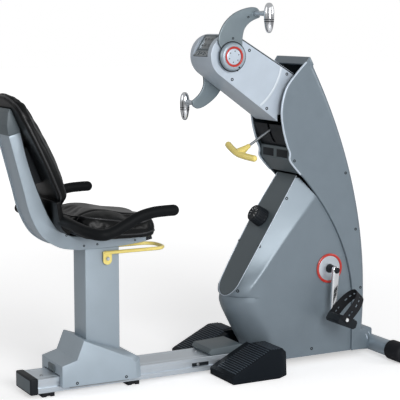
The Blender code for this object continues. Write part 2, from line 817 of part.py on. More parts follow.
def stabiliser():
    """The front cross tube, its saddle cover and its two end caps."""
    centre = (STABILISER_AHEAD, STABILISER_CAP_RADIUS)
    tube_half = STABILISER_HALF_LENGTH - 0.012
    radius = STABILISER_TUBE_RADIUS
    cross_bar("stabiliser_tube", "silver_shell", centre, -tube_half, tube_half, radius)
    for side_name, side in SIDES.items():
        end = side * STABILISER_HALF_LENGTH
        start = end - side * STABILISER_CAP_LENGTH
        inner = STABILISER_TUBE_RADIUS + CLEARANCE
        outer = STABILISER_CAP_RADIUS
        depth = STABILISER_CAP_LENGTH
        profile = [
            (0.0, depth),
            (outer - 0.006, depth),
            (outer, depth - 0.006),
            (outer, 0.003),
            (outer - 0.003, 0.0),
            (inner, 0.0),
            (inner, depth - 0.012 + CLEARANCE),
            (0.0, depth - 0.012 + CLEARANCE),
        ]
        turned("stabiliser_cap_" + side_name, "rubber", profile, at(centre, start), (0, side, 0), 24)


# The arch in the tower's foot that the stabiliser's collar fills
COLLAR_ARCH = [
    (0.1137, 0.0),
    (0.1137, 0.0750),
    (0.1183, 0.0925),
    (0.1297, 0.1047),
    (0.1498, 0.1102),
    (0.2500, 0.1108),
    (0.2500, 0.0),
]


def stabiliser_collar():
    """The saddle cover where the stabiliser joins the frame: three steps, narrower to the front."""
    gap = 2 * CLEARANCE
    arch = [(x + gap, z - gap) for x, z in COLLAR_ARCH[1:5]]
    first = [(arch[0][0], UNIT_BASE_HEIGHT)] + arch
    first += [(0.172, 0.1096), (0.178, 0.103), (0.178, 0.026)]
    second = [(0.140, 0.022), (0.140, 0.090), (0.158, 0.1085), (0.168, 0.1085), (0.174, 0.112)]
    second += [(0.198, 0.1065), (0.206, 0.099), (0.206, 0.022)]
    third = [(0.150, 0.015), (0.150, 0.090), (0.166, 0.1085), (0.168, 0.117), (0.234, 0.099)]
    third += [(0.240, 0.093), (0.240, 0.060), (0.226, 0.010)]
    halves = (TOWER_HALF_WIDTH - 0.004, 0.092, 0.066)
    obj = plate("stabiliser_collar", "silver_shell", [first], -halves[0], halves[0])
    join(obj, plate("collar_step", "steel", [second], -halves[1], halves[1]))
    join(obj, plate("collar_mouth", "steel", [third], -halves[2], halves[2]))
    centre = (STABILISER_AHEAD, STABILISER_CAP_RADIUS)
    bore = STABILISER_TUBE_RADIUS + CLEARANCE
    cut(obj, cross_bar("collar_bore", "steel", centre, -0.2, 0.2, bore))
    tongue = SPINE_HALF_WIDTH + gap
    cut(obj, box("collar_slot", "steel", (0.10, 0.215), (-tongue, tongue), (0, RAIL_TOP - 0.004)))
    return obj


def rail():
    """The aluminium extrusion that the seat slides on: hollow, with a groove in each side."""
    across = (-RAIL_HALF_WIDTH, RAIL_HALF_WIDTH)
    obj = box("rail", "aluminium", (RAIL_REAR, RAIL_FRONT), across, (RAIL_BOTTOM, RAIL_TOP))
    core = SPINE_HALF_WIDTH + 2 * CLEARANCE
    low, high = RAIL_BOTTOM + RAIL_WALL, RAIL_TOP - RAIL_WALL
    whole = (RAIL_REAR - 0.01, RAIL_FRONT + 0.01)
    cut(obj, box("rail_core", "steel", whole, (-core, core), (low, high)))
    for side in (-1, 1):
        across = sorted((side * (RAIL_HALF_WIDTH - 0.010), side * (RAIL_HALF_WIDTH + 0.01)))
        cut(obj, box(f"rail_groove_{side}", "steel", whole, across, (0.034, 0.052)))
    return obj


def rail_end_cap():
    """The moulded cap on the rail's rear end, with a plug that fits the rail's core."""
    obj = box(
        "rail_end_cap",
        "dark_grey",
        (RAIL_REAR - RAIL_CAP_LENGTH, RAIL_REAR - CLEARANCE),
        (-RAIL_HALF_WIDTH - 0.003, RAIL_HALF_WIDTH + 0.003),
        (RAIL_BOTTOM - 0.003, RAIL_TOP + 0.003),
    )
    bevel(obj, 0.004)
    core = SPINE_HALF_WIDTH
    low, high = RAIL_BOTTOM + RAIL_WALL + 2 * CLEARANCE, RAIL_TOP - RAIL_WALL - 2 * CLEARANCE
    plug = (RAIL_REAR - 0.01, RAIL_REAR + 0.02)
    join(obj, box("rail_cap_plug", "steel", plug, (-core, core), (low, high)))
    return obj


def rail_feet():
    """Two cross feet under the rail, at its rear end and under the middle of the seat's travel."""
    for name, ahead in (("rail_foot_rear", -1.168), ("rail_foot_middle", -0.832)):
        heights = (0, RAIL_BOTTOM - CLEARANCE)
        obj = box(name, "rubber", (ahead - 0.024, ahead + 0.024), (-0.070, 0.070), heights)
        bevel(obj, 0.003)


def foot_platforms():
    """The two ribbed foot ramps beside the rail, and the bridge over the rail between them."""
    rear, front = PLATFORM_REAR, PLATFORM_FRONT
    for side_name, side in SIDES.items():
        outline = [
            (rear, 0.0),
            (rear, PLATFORM_LOW - 0.006),
            (rear + 0.008, PLATFORM_LOW),
            (rear + 0.165, PLATFORM_HIGH),
            (front - 0.030, PLATFORM_HIGH),
            (front - 0.006, PLATFORM_HIGH - 0.020),
            (front, 0.0),
        ]
        inner = RAIL_HALF_WIDTH + CLEARANCE
        low, high = sorted((side * inner, side * PLATFORM_HALF_SPAN))
        obj = plate("foot_platform_" + side_name, "black_plastic", [outline], low, high)
        bevel(obj, 0.003)
        corner = box("corner_" + side_name, "steel", (-0.05, 0.05), (-0.05, 0.05), (-0.01, 0.2))
        corner.location = at((front, 0.09), side * PLATFORM_HALF_SPAN)
        corner.rotation_euler = (0, 0, side * radians(35))
        cut(obj, corner)
        chin_room(obj, side_name)
    top = RAIL_TOP + CLEARANCE
    bridge = [
        (rear + 0.004, top),
        (rear - 0.004, top + 0.012),
        (rear + 0.006, top + 0.026),
        (-0.372, top + 0.032),
        (-0.372, top),
    ]
    half = RAIL_HALF_WIDTH - CLEARANCE
    obj = plate("platform_bridge", "black_plastic", [bridge], -half, half)
    bevel(obj, 0.003)
    return obj


def chin_room(obj, side_name):
    """Takes the space of the drive unit's chin out of a foot platform."""
    room = [(x - 0.006, z) for x, z in CHIN_EDGE if z < 0.17]
    room = [(room[0][0] - 0.02, 0.20)] + room + [(room[-1][0], -0.01), (0.0, -0.01), (0.0, 0.20)]
    half = LOWER_HALF_WIDTH + 0.001
    cut(obj, plate("chin_room_" + side_name, "steel", [room], -half, half))


def crankset():
    """The pedal spindle with its pulley, discs and two opposed arms with their pedal pins."""
    centre = (0, CRANK_HEIGHT)
    reach = CRANK_ARM_PLANE - CRANK_ARM_THICKNESS / 2 - CLEARANCE
    cross_bar("crank_spindle", "steel", centre, -reach, reach, SPINDLE_RADIUS)
    pulley = PULLEY_RADIUS
    half = PULLEY_THICKNESS / 2
    bore = SPINDLE_RADIUS + CLEARANCE
    profile = [
        (bore, half + 0.008),
        (0.020, half + 0.008),
        (0.020, half - 0.003),
        (pulley - 0.014, half - 0.003),
        (pulley - 0.012, half),
        (pulley, half),
        (pulley, -half),
        (pulley - 0.012, -half),
        (pulley - 0.014, -half + 0.003),
        (0.020, -half + 0.003),
        (0.020, -half),
        (bore, -half),
    ]
    turned("drive_pulley", "black_plastic", profile, at(centre, PULLEY_PLANE), (0, 1, 0), 24)
    for side_name, side in SIDES.items():
        crank_disc(side_name, side)
        crank_arm(side_name, side)


def crank_disc(side_name, side):
    """The round cover that turns with the crank, outside the shell."""
    inner = LOWER_HALF_WIDTH + 2 * CLEARANCE + 0.0002
    thick = CRANK_DISC_THICKNESS
    bore = SPINDLE_RADIUS + CLEARANCE
    radius = CRANK_DISC_RADIUS
    profile = [
        (bore, thick),
        (0.014, thick),
        (0.016, thick - 0.001),
        (radius - 0.004, thick - 0.001),
        (radius, thick - 0.003),
        (radius, 0.0),
        (bore, 0.0),
    ]
    place = at((0, CRANK_HEIGHT), side * inner)
    turned("crank_disc_" + side_name, "aluminium", profile, place, (0, side, 0), 24)


def crank_end(side):
    """The side-view place of the pedal pin: the right one hangs down, the left one is opposite."""
    angle = -pi / 2 - CRANK_LEAN if side < 0 else pi / 2 - CRANK_LEAN
    return (CRANK_LENGTH * cos(angle), CRANK_HEIGHT + CRANK_LENGTH * sin(angle))


def crank_arm(side_name, side):
    """One crank arm, which narrows from its hub to the pedal pin."""
    centre = (0, CRANK_HEIGHT)
    end = crank_end(side)
    along = atan2(end[1] - centre[1], end[0] - centre[0])
    outline = arc(centre, 0.018, along + pi / 2, along + 3 * pi / 2, 9)
    outline += arc(end, 0.0125, along - pi / 2, along + pi / 2, 9)
    half = CRANK_ARM_THICKNESS / 2
    low, high = side * CRANK_ARM_PLANE - half, side * CRANK_ARM_PLANE + half
    obj = plate("crank_arm_" + side_name, "chrome", [outline], low, high)
    bevel(obj, 0.003)
    outer = side * (CRANK_ARM_PLANE + half)
    tip = outer + side * (PEDAL_SPAN + 0.006)
    low, high = sorted((outer - side * 0.006, tip))
    join(obj, cross_bar("pedal_pin_" + side_name, "chrome", end, low, high, PEDAL_PIN_RADIUS, 16))
    low, high = sorted((outer - side * 0.004, outer + side * 0.006))
    join(obj, cross_bar("crank_bolt_" + side_name, "chrome", centre, low, high, 0.0115, 20))
    return obj


def pedal(side_name, side):
    """One pedal body on its pin, and the strap over it."""
    end = crank_end(side)
    inner = CRANK_ARM_PLANE + CRANK_ARM_THICKNESS / 2 + 0.0045
    low, high = sorted((side * inner, side * (inner + PEDAL_SPAN)))
    half_length = PEDAL_LENGTH / 2
    lengths = (-half_length, half_length)
    heights = (-PEDAL_HEIGHT / 2, PEDAL_HEIGHT / 2)
    body = box("pedal_" + side_name, "black_plastic", lengths, (low, high), heights)
    ahead = end[0] + PEDAL_LEAD * cos(PEDAL_TILT) - PEDAL_DROP * sin(PEDAL_TILT)
    height = end[1] - PEDAL_LEAD * sin(PEDAL_TILT) - PEDAL_DROP * cos(PEDAL_TILT)
    body.location = at((ahead, height), (low + high) / 2)
    body.rotation_euler = (0, PEDAL_TILT, 0)
    bevel(body, 0.004)
    bore = PEDAL_PIN_RADIUS + RUNNING_CLEARANCE
    name = "pedal_bore_" + side_name
    cut(body, cross_bar(name, "steel", end, low - 0.01, high + 0.01, bore, 16))
    strap(side_name, side, end, (low + high) / 2)


def strap(side_name, side, pin, middle):
    """The toe strap: a band that leaves the pedal's two sides and arches over the foot."""
    half = PEDAL_SPAN / 2 + CLEARANCE
    thick = STRAP_THICKNESS
    rise = STRAP_RISE
    outer = [(-half - thick, -0.011), (-half - thick, rise * 0.35)]
    outer += [
        ((half + thick) * -cos(angle), rise * 0.35 + rise * 0.65 * sin(angle))
        for angle in np.linspace(0, pi, 13)[1:-1]
    ]
    outer += [(half + thick, rise * 0.35), (half + thick, -0.011)]
    inner = [(half, -0.011), (half, rise * 0.35)]
    inner += [
        (half * cos(angle), rise * 0.35 + (rise * 0.65 - thick) * sin(angle))
        for angle in np.linspace(0, pi, 13)[1:-1]
    ]
    inner += [(-half, rise * 0.35), (-half, -0.011)]
    obj = flat_shape("pedal_strap_" + side_name, [outer + inner], STRAP_WIDTH)
    up = Vector((cos(STRAP_TILT), 0, sin(STRAP_TILT)))
    across = Vector((0, 1, 0))
    normal = across.cross(up)
    place = Matrix((across, up, normal)).transposed().to_4x4()
    place.translation = at(pin, middle) + normal * STRAP_LEAD
    obj.matrix_world = place
    obj = as_mesh(obj, "rubber")
    reach = (middle - half - 0.01, middle + half + 0.01)
    bore = PEDAL_PIN_RADIUS + 2 * RUNNING_CLEARANCE
    cut(obj, cross_bar("strap_bore_" + side_name, "steel", pin, *reach, bore, 16))
    return obj


def flywheel():
    """The flywheel on its own shaft, with the small pulley that the belt drives."""
    small = PULLEY_RADIUS / BELT_RATIO
    shaft = FLYWHEEL_AXLE_RADIUS
    half = FLYWHEEL_THICKNESS / 2
    low = PULLEY_PLANE - PULLEY_THICKNESS / 2
    high = PULLEY_PLANE + PULLEY_THICKNESS / 2
    rim = FLYWHEEL_RADIUS
    profile = [
        (0.0, high + 0.004),
        (shaft, high + 0.004),
        (small, high + 0.0005),
        (small, low - 0.0005),
        (shaft, low - 0.004),
        (shaft, half + 0.003),
        (0.022, half + 0.003),
        (0.022, half - 0.008),
        (rim - 0.022, half - 0.008),
        (rim - 0.020, half),
        (rim, half),
        (rim, -half),
        (rim - 0.020, -half),
        (rim - 0.022, -half + 0.008),
        (0.022, -half + 0.008),
        (0.022, -half - 0.003),
        (shaft, -half - 0.003),
        (shaft, -SPINE_HALF_WIDTH - 0.006),
        (0.0, -SPINE_HALF_WIDTH - 0.006),
    ]
    centre = at((-FLYWHEEL_BEHIND, FLYWHEEL_HEIGHT))
    turned("flywheel", "steel", profile, centre, (0, 1, 0), 20)


def belt_outline(extra):
    """The path round both pulleys, at a distance outside their rims."""
    big = PULLEY_RADIUS + extra
    small = PULLEY_RADIUS / BELT_RATIO + extra
    start = (0, CRANK_HEIGHT)
    end = (-FLYWHEEL_BEHIND, FLYWHEEL_HEIGHT)
    reach = hypot(end[0] - start[0], end[1] - start[1])
    along = atan2(end[1] - start[1], end[0] - start[0])
    lean = np.arccos((big - small) / reach)
    return arc(start, big, along + lean, along + 2 * pi - lean, 25) + arc(
        end, small, along - lean, along + lean, 11
    )


def drive_belt():
    """The ribbed belt between the crank's pulley and the flywheel's."""
    gap = CLEARANCE + 0.0005
    outlines = [belt_outline(gap + BELT_THICKNESS), belt_outline(gap)[::-1]]
    half = PULLEY_THICKNESS / 2 - 0.001
    return plate("drive_belt", "rubber", outlines, PULLEY_PLANE - half, PULLEY_PLANE + half)


def brake_magnet():
    """The magnet yoke that straddles the flywheel's rim and sits against the upright."""
    front = -FLYWHEEL_BEHIND + FLYWHEEL_RADIUS
    level = FLYWHEEL_HEIGHT
    slope = (PIVOT[0] - 0.020) / (PIVOT[1] - RAIL_TOP)
    lowest = level - 0.040
    upright_rear = 0.020 + slope * (level + 0.040 - RAIL_TOP) - UPRIGHT_SIDE / 2
    ahead = (front - 0.024, upright_rear - 0.0008)
    obj = box("brake_magnet", "steel", ahead, (-0.028, 0.028), (lowest, level + 0.040))
    gap = FLYWHEEL_THICKNESS / 2 + 0.002
    centre = (-FLYWHEEL_BEHIND, FLYWHEEL_HEIGHT)
    cut(obj, cross_bar("magnet_gap", "steel", centre, -gap, gap, FLYWHEEL_RADIUS + 0.003, 48))
    return obj


def arm_direction():
    """The direction in the side view from the hand hub to the pivot."""
    return atan2(PIVOT[1] - ARM_HUB[1], PIVOT[0] - ARM_HUB[0])


def arm_point(along, up=0.0):
    """A side-view pair at a length from the hand hub towards the pivot, and a height off that line."""
    angle = arm_direction()
    return (
        ARM_HUB[0] + along * cos(angle) - up * sin(angle),
        ARM_HUB[1] + along * sin(angle) + up * cos(angle),
    )


def arm_length():
    """The distance from the hand hub to the pivot."""
    return hypot(PIVOT[0] - ARM_HUB[0], PIVOT[1] - ARM_HUB[1])


def arm_frame():
    """The steel beam in the arm: the hand axle's bearing tube at one end, two ears that hang on
    the pivot at the other, and the boss that the lock's rod screws into."""
    length = arm_length()
    half = 0.030
    beam = [arm_point(0.005, 0.022), arm_point(0.005, -0.022)]
    beam += [arm_point(length - 0.048, -0.022), arm_point(length - 0.048, 0.022)]
    obj = plate("arm_frame", "steel", [beam], -half, half)
    join(obj, cross_bar("hand_bearing", "steel", ARM_HUB, -0.050, 0.050, 0.027))
    ear_inner = UPRIGHT_SIDE / 2 + 0.001 + RUNNING_CLEARANCE
    along = arm_direction()
    for side in (-1, 1):
        ear = arc(PIVOT, 0.024, along - pi / 2, along + pi / 2, 9)
        ear += [arm_point(length - 0.085, 0.021), arm_point(length - 0.085, -0.021)]
        low, high = sorted((side * ear_inner, side * (ear_inner + ARM_EAR_THICKNESS)))
        join(obj, plate(f"arm_ear_{side}", "steel", [ear], low, high))
    inward = Vector((cos(LOCK_ANGLE), 0, sin(LOCK_ANGLE)))
    crossing = at(LOCK_CROSSING)
    boss = (crossing + inward * 0.052, crossing + inward * 0.095)
    join(obj, cylinder("lock_boss", "steel", *boss, 0.011, 16))
    gusset = [arm_point(length - 0.120, -0.015), arm_point(length - 0.055, -0.015)]
    gusset += [(PIVOT[0] - 0.097, PIVOT[1] - 0.023), (PIVOT[0] - 0.136, PIVOT[1] - 0.046)]
    join(obj, plate("lock_gusset", "steel", [gusset], -0.006, 0.006))
    stand_off = ARM_HALF_WIDTH - ARM_WALL - CLEARANCE
    for along in (0.160, 0.300):
        name = f"shell_stand_off_{along}"
        join(obj, cross_bar(name, "steel", arm_point(along), -stand_off, stand_off, 0.007, 12))
    thread = (crossing + inward * 0.02, crossing + inward * 0.075)
    cut(obj, cylinder("lock_thread", "steel", *thread, LOCK_ROD_RADIUS + CLEARANCE, 16))
    cut(obj, cross_bar("hand_bore", "steel", ARM_HUB, -0.1, 0.1, HAND_AXLE_RADIUS + RUNNING_CLEARANCE))
    cut(obj, cross_bar("ear_bore", "steel", PIVOT, -0.1, 0.1, PIVOT_AXLE_RADIUS + RUNNING_CLEARANCE))
    return obj


def arm_outline():
    """The arm cover's edge, from the tower end of the top, round the drum, to that of the bottom."""
    top = pi / 2 - ARM_TOP_SLOPE
    bottom = -pi / 2 - ARM_BOTTOM_SLOPE
    round_end = arc(ARM_HUB, DRUM_RADIUS, top, 2 * pi + bottom, 19)
    top_end_ahead = -0.105
    run = (top_end_ahead - round_end[0][0]) / cos(ARM_TOP_SLOPE)
    top_end = (top_end_ahead, round_end[0][1] - run * sin(ARM_TOP_SLOPE))
    clear = SLOT_COVER_RADIUS + 0.0045
    low = round_end[-1]
    step = 0.001
    along = 0.0
    place = low
    while hypot(place[0] - PIVOT[0], place[1] - PIVOT[1]) > clear:
        along += step
        place = (low[0] + along * cos(ARM_BOTTOM_SLOPE), low[1] - along * sin(ARM_BOTTOM_SLOPE))
    return [top_end] + round_end + [place]


def arm_shell(side_name):
    """One half of the arm's light cover, with the console's window in its drum."""
    side = SIDES[side_name]
    outline = arm_outline()
    bottom_end = outline[-1]
    start = atan2(bottom_end[1] - PIVOT[1], bottom_end[0] - PIVOT[0]) % (2 * pi)
    radius = hypot(bottom_end[0] - PIVOT[0], bottom_end[1] - PIVOT[1])
    back = arc(PIVOT, radius, start, radians(180), 4)[1:]
    back += arc(PIVOT, 0.110, radians(178), radians(100), 6)
    corners = outline + back
    mesh = bpy.data.meshes.new("arm_shell_" + side_name)
    shape = bmesh.new()
    outer = [shape.verts.new(at(point, side * ARM_HALF_WIDTH)) for point in corners]
    inner = [shape.verts.new(at(point, side * CLEARANCE / 2)) for point in outline]
    shape.faces.new(outer)
    for i in range(len(outline) - 1):
        shape.faces.new((outer[i], outer[i + 1], inner[i + 1], inner[i]))
    bmesh.ops.recalc_face_normals(shape, faces=shape.faces)
    cap = max(shape.faces, key=lambda face: face.calc_area())
    if cap.normal.y * side < 0:
        bmesh.ops.reverse_faces(shape, faces=shape.faces)
    shape.to_mesh(mesh)
    shape.free()
    obj = add(mesh.name, mesh, "light_silver")
    bevel(obj, 0.007, 2, radians(50))
    solid = obj.modifiers.new("wall", "SOLIDIFY")
    solid.thickness = ARM_WALL
    solid.offset = -1
    cut(obj, console_block("console_window_" + side_name, 0.0004, 0.03))
    hole = HAND_AXLE_RADIUS + 0.003
    cut(obj, cross_bar("axle_hole_" + side_name, "steel", ARM_HUB, side * 0.06, side * 0.1, hole))
    return obj


def console_place(along, out):
    """A side-view pair on the console's face: a length down from its top edge, a depth out of it."""
    normal = (-sin(CONSOLE_ANGLE), cos(CONSOLE_ANGLE))
    down = (-cos(CONSOLE_ANGLE), -sin(CONSOLE_ANGLE))
    lift = 0.0475
    distance = CONSOLE_FACE_DISTANCE + out
    return (
        ARM_HUB[0] + normal[0] * distance + down[0] * (along - lift),
        ARM_HUB[1] + normal[1] * distance + down[1] * (along - lift),
    )


def console_block(name, grow, above):
    """The console's outer form, grown all round, and higher above its face."""
    corners = [
        console_place(-grow, above),
        console_place(CONSOLE_LENGTH + grow, above),
        console_place(CONSOLE_LENGTH + grow, -CONSOLE_DEPTH - grow),
        console_place(-grow, -CONSOLE_DEPTH - grow),
    ]
    half = CONSOLE_HALF_WIDTH + grow
    return plate(name, "display", [corners], -half, half)


def key_sizes():
    """Each key's place across the console and its half length along Y."""
    return {"key_down": (-0.034, 0.005), "key_mode": (0.0, 0.011), "key_up": (0.034, 0.005)}


def key_block(name, across, half_length, grow, low, high):
    """An oval key, or its pocket, between two depths below the console's face."""
    half_width = 0.005 + grow
    half_length += grow
    run = half_length - half_width
    outline = []
    for centre, start in ((run, -pi / 2), (-run, pi / 2)):
        for angle in np.linspace(start, start + pi, 7):
            outline.append((half_width * sin(angle), centre + half_width * cos(angle)))
    obj = flat_shape(name, [outline], high - low)
    down = Vector((-cos(CONSOLE_ANGLE), 0, -sin(CONSOLE_ANGLE)))
    normal = Vector((-sin(CONSOLE_ANGLE), 0, cos(CONSOLE_ANGLE)))
    place = Matrix((down, normal.cross(down), normal)).transposed().to_4x4()
    place.translation = at(console_place(0.081, (low + high) / 2), across)
    obj.matrix_world = place
    return as_mesh(obj, "dark_grey")


def console():
    """The display housing set in the drum, with a pocket for each key."""
    obj = console_block("console", 0.0, 0.0)
    bevel(obj, 0.002)
    cut(obj, cross_bar("console_drum_room", "steel", ARM_HUB, -0.06, 0.06, 0.0535, 32))
    for name, (across, half_length) in key_sizes().items():
        cut(obj, key_block(name + "_pocket", across, half_length, 0.0004, -0.0070, 0.01))
        key_block(name, across, half_length, 0.0, -0.0055, 0.0015)
    return obj


def hand_tip(side):
    """The side-view place of a handle's pin."""
    angle = HAND_ANGLE if side < 0 else HAND_ANGLE + HAND_OPPOSITION
    return (ARM_HUB[0] + HAND_RADIUS * cos(angle), ARM_HUB[1] + HAND_RADIUS * sin(angle))


# The horn's edges as (distance from the hub's axis, angle ahead of the pin's own angle)
HORN_OUTER = [(0.050, 92), (0.086, 75), (0.123, 50), (0.158, 30), (0.190, 13), (0.207, 3)]
HORN_OUTER += [(0.204, -4)]
HORN_INNER = [(0.186, -7), (0.160, -1.5), (0.138, 2.5), (0.114, 4.5), (0.088, 1), (0.060, -14)]
HORN_INNER += [(0.050, -30)]


def hand_plate(side_name, side):
    """One horn-shaped hand crank: a plate with a round hub, and the pin that its handle turns on."""
    lead = HAND_ANGLE if side < 0 else HAND_ANGLE + HAND_OPPOSITION

    def polar(points, count):
        pairs = [
            (distance * cos(lead + radians(turn)), distance * sin(lead + radians(turn)))
            for distance, turn in points
        ]
        return [(ARM_HUB[0] + x, ARM_HUB[1] + z) for x, z in smooth_path(pairs, count)]

    outline = polar(HORN_OUTER, 15) + polar(HORN_INNER, 13)
    first = lead + radians(HORN_INNER[-1][1])
    last = lead + radians(HORN_OUTER[0][1]) - 2 * pi
    outline += arc(ARM_HUB, 0.050, first, last, 12)[1:-1]
    inner = HAND_PLATE_INNER
    outer = inner + HAND_PLATE_THICKNESS
    low, high = sorted((side * inner, side * outer))
    obj = plate("hand_plate_" + side_name, "silver_shell", [outline], low, high)
    hub_start = at(ARM_HUB, side * (inner + 0.0005))
    hub_end = at(ARM_HUB, side * (outer + HAND_HUB_DEPTH))
    radii = (HAND_HUB_RADIUS + 0.002, HAND_HUB_RADIUS - 0.006)
    hub = cylinder("hand_hub_" + side_name, "steel", hub_start, hub_end, radii[0], 36, radii[1])
    join(obj, hub)
    pin = hand_tip(side)
    low, high = sorted((side * (outer - 0.004), side * (HANDLE_SPREAD + 0.012)))
    join(obj, cross_bar("handle_pin_" + side_name, "steel", pin, low, high, HANDLE_PIN_RADIUS, 16))
    return obj


def handle(side_name, side):
    """One spindle-shaped chrome handle that swings on its pin and so hangs upright."""
    pin = hand_tip(side)
    above = HANDLE_LENGTH * HANDLE_SHARE_ABOVE
    below = HANDLE_LENGTH - above
    profile = [
        (HANDLE_RADIUS * cos(angle) ** 0.75, above * sin(angle))
        for angle in np.linspace(pi / 2, 0, 7)[1:]
    ]
    profile = [(0.0, above)] + profile
    profile += [
        (HANDLE_RADIUS * cos(angle) ** 0.7, -below * sin(angle))
        for angle in np.linspace(0, pi / 2, 9)[1:-1]
    ]
    profile.append((0.0, -below))
    place = at(pin, side * HANDLE_SPREAD)
    obj = turned("handle_" + side_name, "chrome", profile, place, (0, 0, 1), 14)
    low, high = sorted((side * (HANDLE_SPREAD - 0.04), side * (HANDLE_SPREAD + 0.0125)))
    bore = HANDLE_PIN_RADIUS + RUNNING_CLEARANCE
    cut(obj, cross_bar("handle_bore_" + side_name, "steel", pin, low, high, bore, 16))
    return obj


def hand_axle():
    """The axle through the arm's bearing tube that both hand cranks are clamped on."""
    reach = HAND_PLATE_INNER - CLEARANCE
    return cross_bar("hand_axle", "steel", ARM_HUB, -reach, reach, HAND_AXLE_RADIUS)


def hand_brake():
    """The brake disc on the hand axle, inside the drum, and the magnet that slows it."""
    inner = 0.0505
    profile = [
        (HAND_AXLE_RADIUS + CLEARANCE, 0.016),
        (0.018, 0.016),
        (0.018, 0.012),
        (0.060, 0.012),
        (0.060, 0.006),
        (0.018, 0.006),
        (0.018, 0.0),
        (HAND_AXLE_RADIUS + CLEARANCE, 0.0),
    ]
    turned("hand_brake_disc", "steel", profile, at(ARM_HUB, inner), (0, 1, 0), 18)
    outline = [arm_point(along, 0.016) for along in (0.085, 0.045)]
    outline += [arm_point(along, -0.016) for along in (0.045, 0.085)]
    obj = plate("hand_brake_magnet", "black_plastic", [outline], 0.030 + CLEARANCE, 0.0705)
    cut(obj, cross_bar("brake_gap", "steel", ARM_HUB, inner + 0.004, inner + 0.014, 0.062, 36))
    return obj


def arm_pivot_axle():
    """The pivot bolt of the arm, with a round head at each end."""
    head = UPRIGHT_SIDE / 2 + 0.001 + 2 * RUNNING_CLEARANCE + ARM_EAR_THICKNESS
    radius = PIVOT_AXLE_RADIUS
    profile = [
        (0.0, head + 0.008),
        (0.013, head + 0.008),
        (0.015, head + 0.006),
        (0.015, head),
        (radius, head),
        (radius, -head),
        (0.015, -head),
        (0.015, -head - 0.006),
        (0.013, -head - 0.008),
        (0.0, -head - 0.008),
    ]
    return turned("arm_pivot_axle", "steel", profile, at(PIVOT), (0, 1, 0), 16)


def lock_handle():
    """The yellow T-handle that clamps the arm's tilt, on its rod."""
    outward = Vector((-cos(LOCK_ANGLE), 0, -sin(LOCK_ANGLE)))
    crossing = at(LOCK_CROSSING)
    grip = crossing + outward * LOCK_REACH
    half = LOCK_GRIP_SPAN / 2
    turn = radians(17)
    raised = Vector((-sin(LOCK_ANGLE), 0, cos(LOCK_ANGLE)))
    side = Vector((0, 1, 0)) * cos(turn) + raised * sin(turn)
    points = [
        grip + side * (half * share) + outward * (-0.006 + 0.019 * (1 - abs(share) ** 1.5))
        for share in np.linspace(-1, 1, 13)
    ]
    obj = tube("lock_handle", "yellow", points, 0.0115, 2)
    stem = (grip - outward * 0.045, grip + outward * 0.008)
    join(obj, cylinder("lock_stem", "yellow", *stem, 0.0085, 16, 0.015))
    rod_start = crossing - outward * 0.074
    join(obj, cylinder("lock_rod", "steel", rod_start, grip - outward * 0.030, LOCK_ROD_RADIUS, 16))
    return obj


def carriage():
    """The slide that hugs the rail, and the cover over it that the post stands in."""
    clear = CLEARANCE
    top = RAIL_TOP + clear
    obj = box("carriage_slide", "steel", (-1.090, -0.860), (-0.088, 0.088), (0.026, top + 0.012))
    inner = RAIL_HALF_WIDTH + clear
    cut(obj, box("slide_channel", "steel", (-1.2, -0.8), (-inner, inner), (0.0, top)))
    outline = [
        (-1.126, 0.034),
        (-1.126, 0.112),
        (-1.068, 0.128),
        (-1.040, 0.200),
        (-0.872, 0.138),
        (-0.838, 0.122),
        (-0.812, 0.106),
        (-0.808, 0.032),
    ]
    half = CARRIAGE_HALF_WIDTH
    cover = plate("carriage_cover", "silver_shell", [outline], -half, half)
    bevel(cover, 0.004)
    core = [
        (-1.122, 0.0),
        (-1.122, 0.108),
        (-1.065, 0.124),
        (-1.037, 0.196),
        (-0.874, 0.134),
        (-0.841, 0.118),
        (-0.816, 0.103),
        (-0.812, 0.0),
    ]
    inner = CARRIAGE_HALF_WIDTH - SHELL_WALL
    cut(cover, plate("cover_core", "steel", [core], -inner, inner))
    mouth = RAIL_HALF_WIDTH + 0.002
    cut(cover, box("cover_mouth", "steel", (-1.2, -0.7), (-mouth, mouth), (0.0, RAIL_TOP + 0.003)))
    gap = 0.0006
    ahead = (POST_REAR - gap, POST_FRONT + gap)
    across = (-POST_HALF_WIDTH - gap, POST_HALF_WIDTH + gap)
    cut(cover, box("post_hole", "steel", ahead, across, (0.09, 0.3)))
    return cover


def seat_post():
    """The upright box section that carries the seat frame, with ears for the lever's bolt."""
    low = RAIL_TOP + 0.012 + 2 * CLEARANCE
    high = SEAT_FRAME_BOTTOM - CLEARANCE
    across = (-POST_HALF_WIDTH, POST_HALF_WIDTH)
    obj = box("seat_post", "silver_shell", (POST_REAR, POST_FRONT), across, (low, high))
    bevel(obj, 0.004)
    wall = 0.006
    ahead = (POST_REAR + wall, POST_FRONT - wall)
    across = (-POST_HALF_WIDTH + wall, POST_HALF_WIDTH - wall)
    cut(obj, box("post_core", "steel", ahead, across, (low - 0.01, high - 0.006)))
    reach = SEAT_FRAME_HALF_WIDTH + 0.008
    join(obj, cross_bar("lever_bolt", "steel", LEVER_PIVOT, -reach, reach, 0.0045, 16))
    return obj


def beside(points, distance):
    """A line moved sideways by a distance, to the left of its direction."""
    path = np.array(points, float)
    along = np.gradient(path, axis=0)
    along /= np.linalg.norm(along, axis=1)[:, None]
    return [(x - distance * t[1], z + distance * t[0]) for (x, z), t in zip(path, along)]


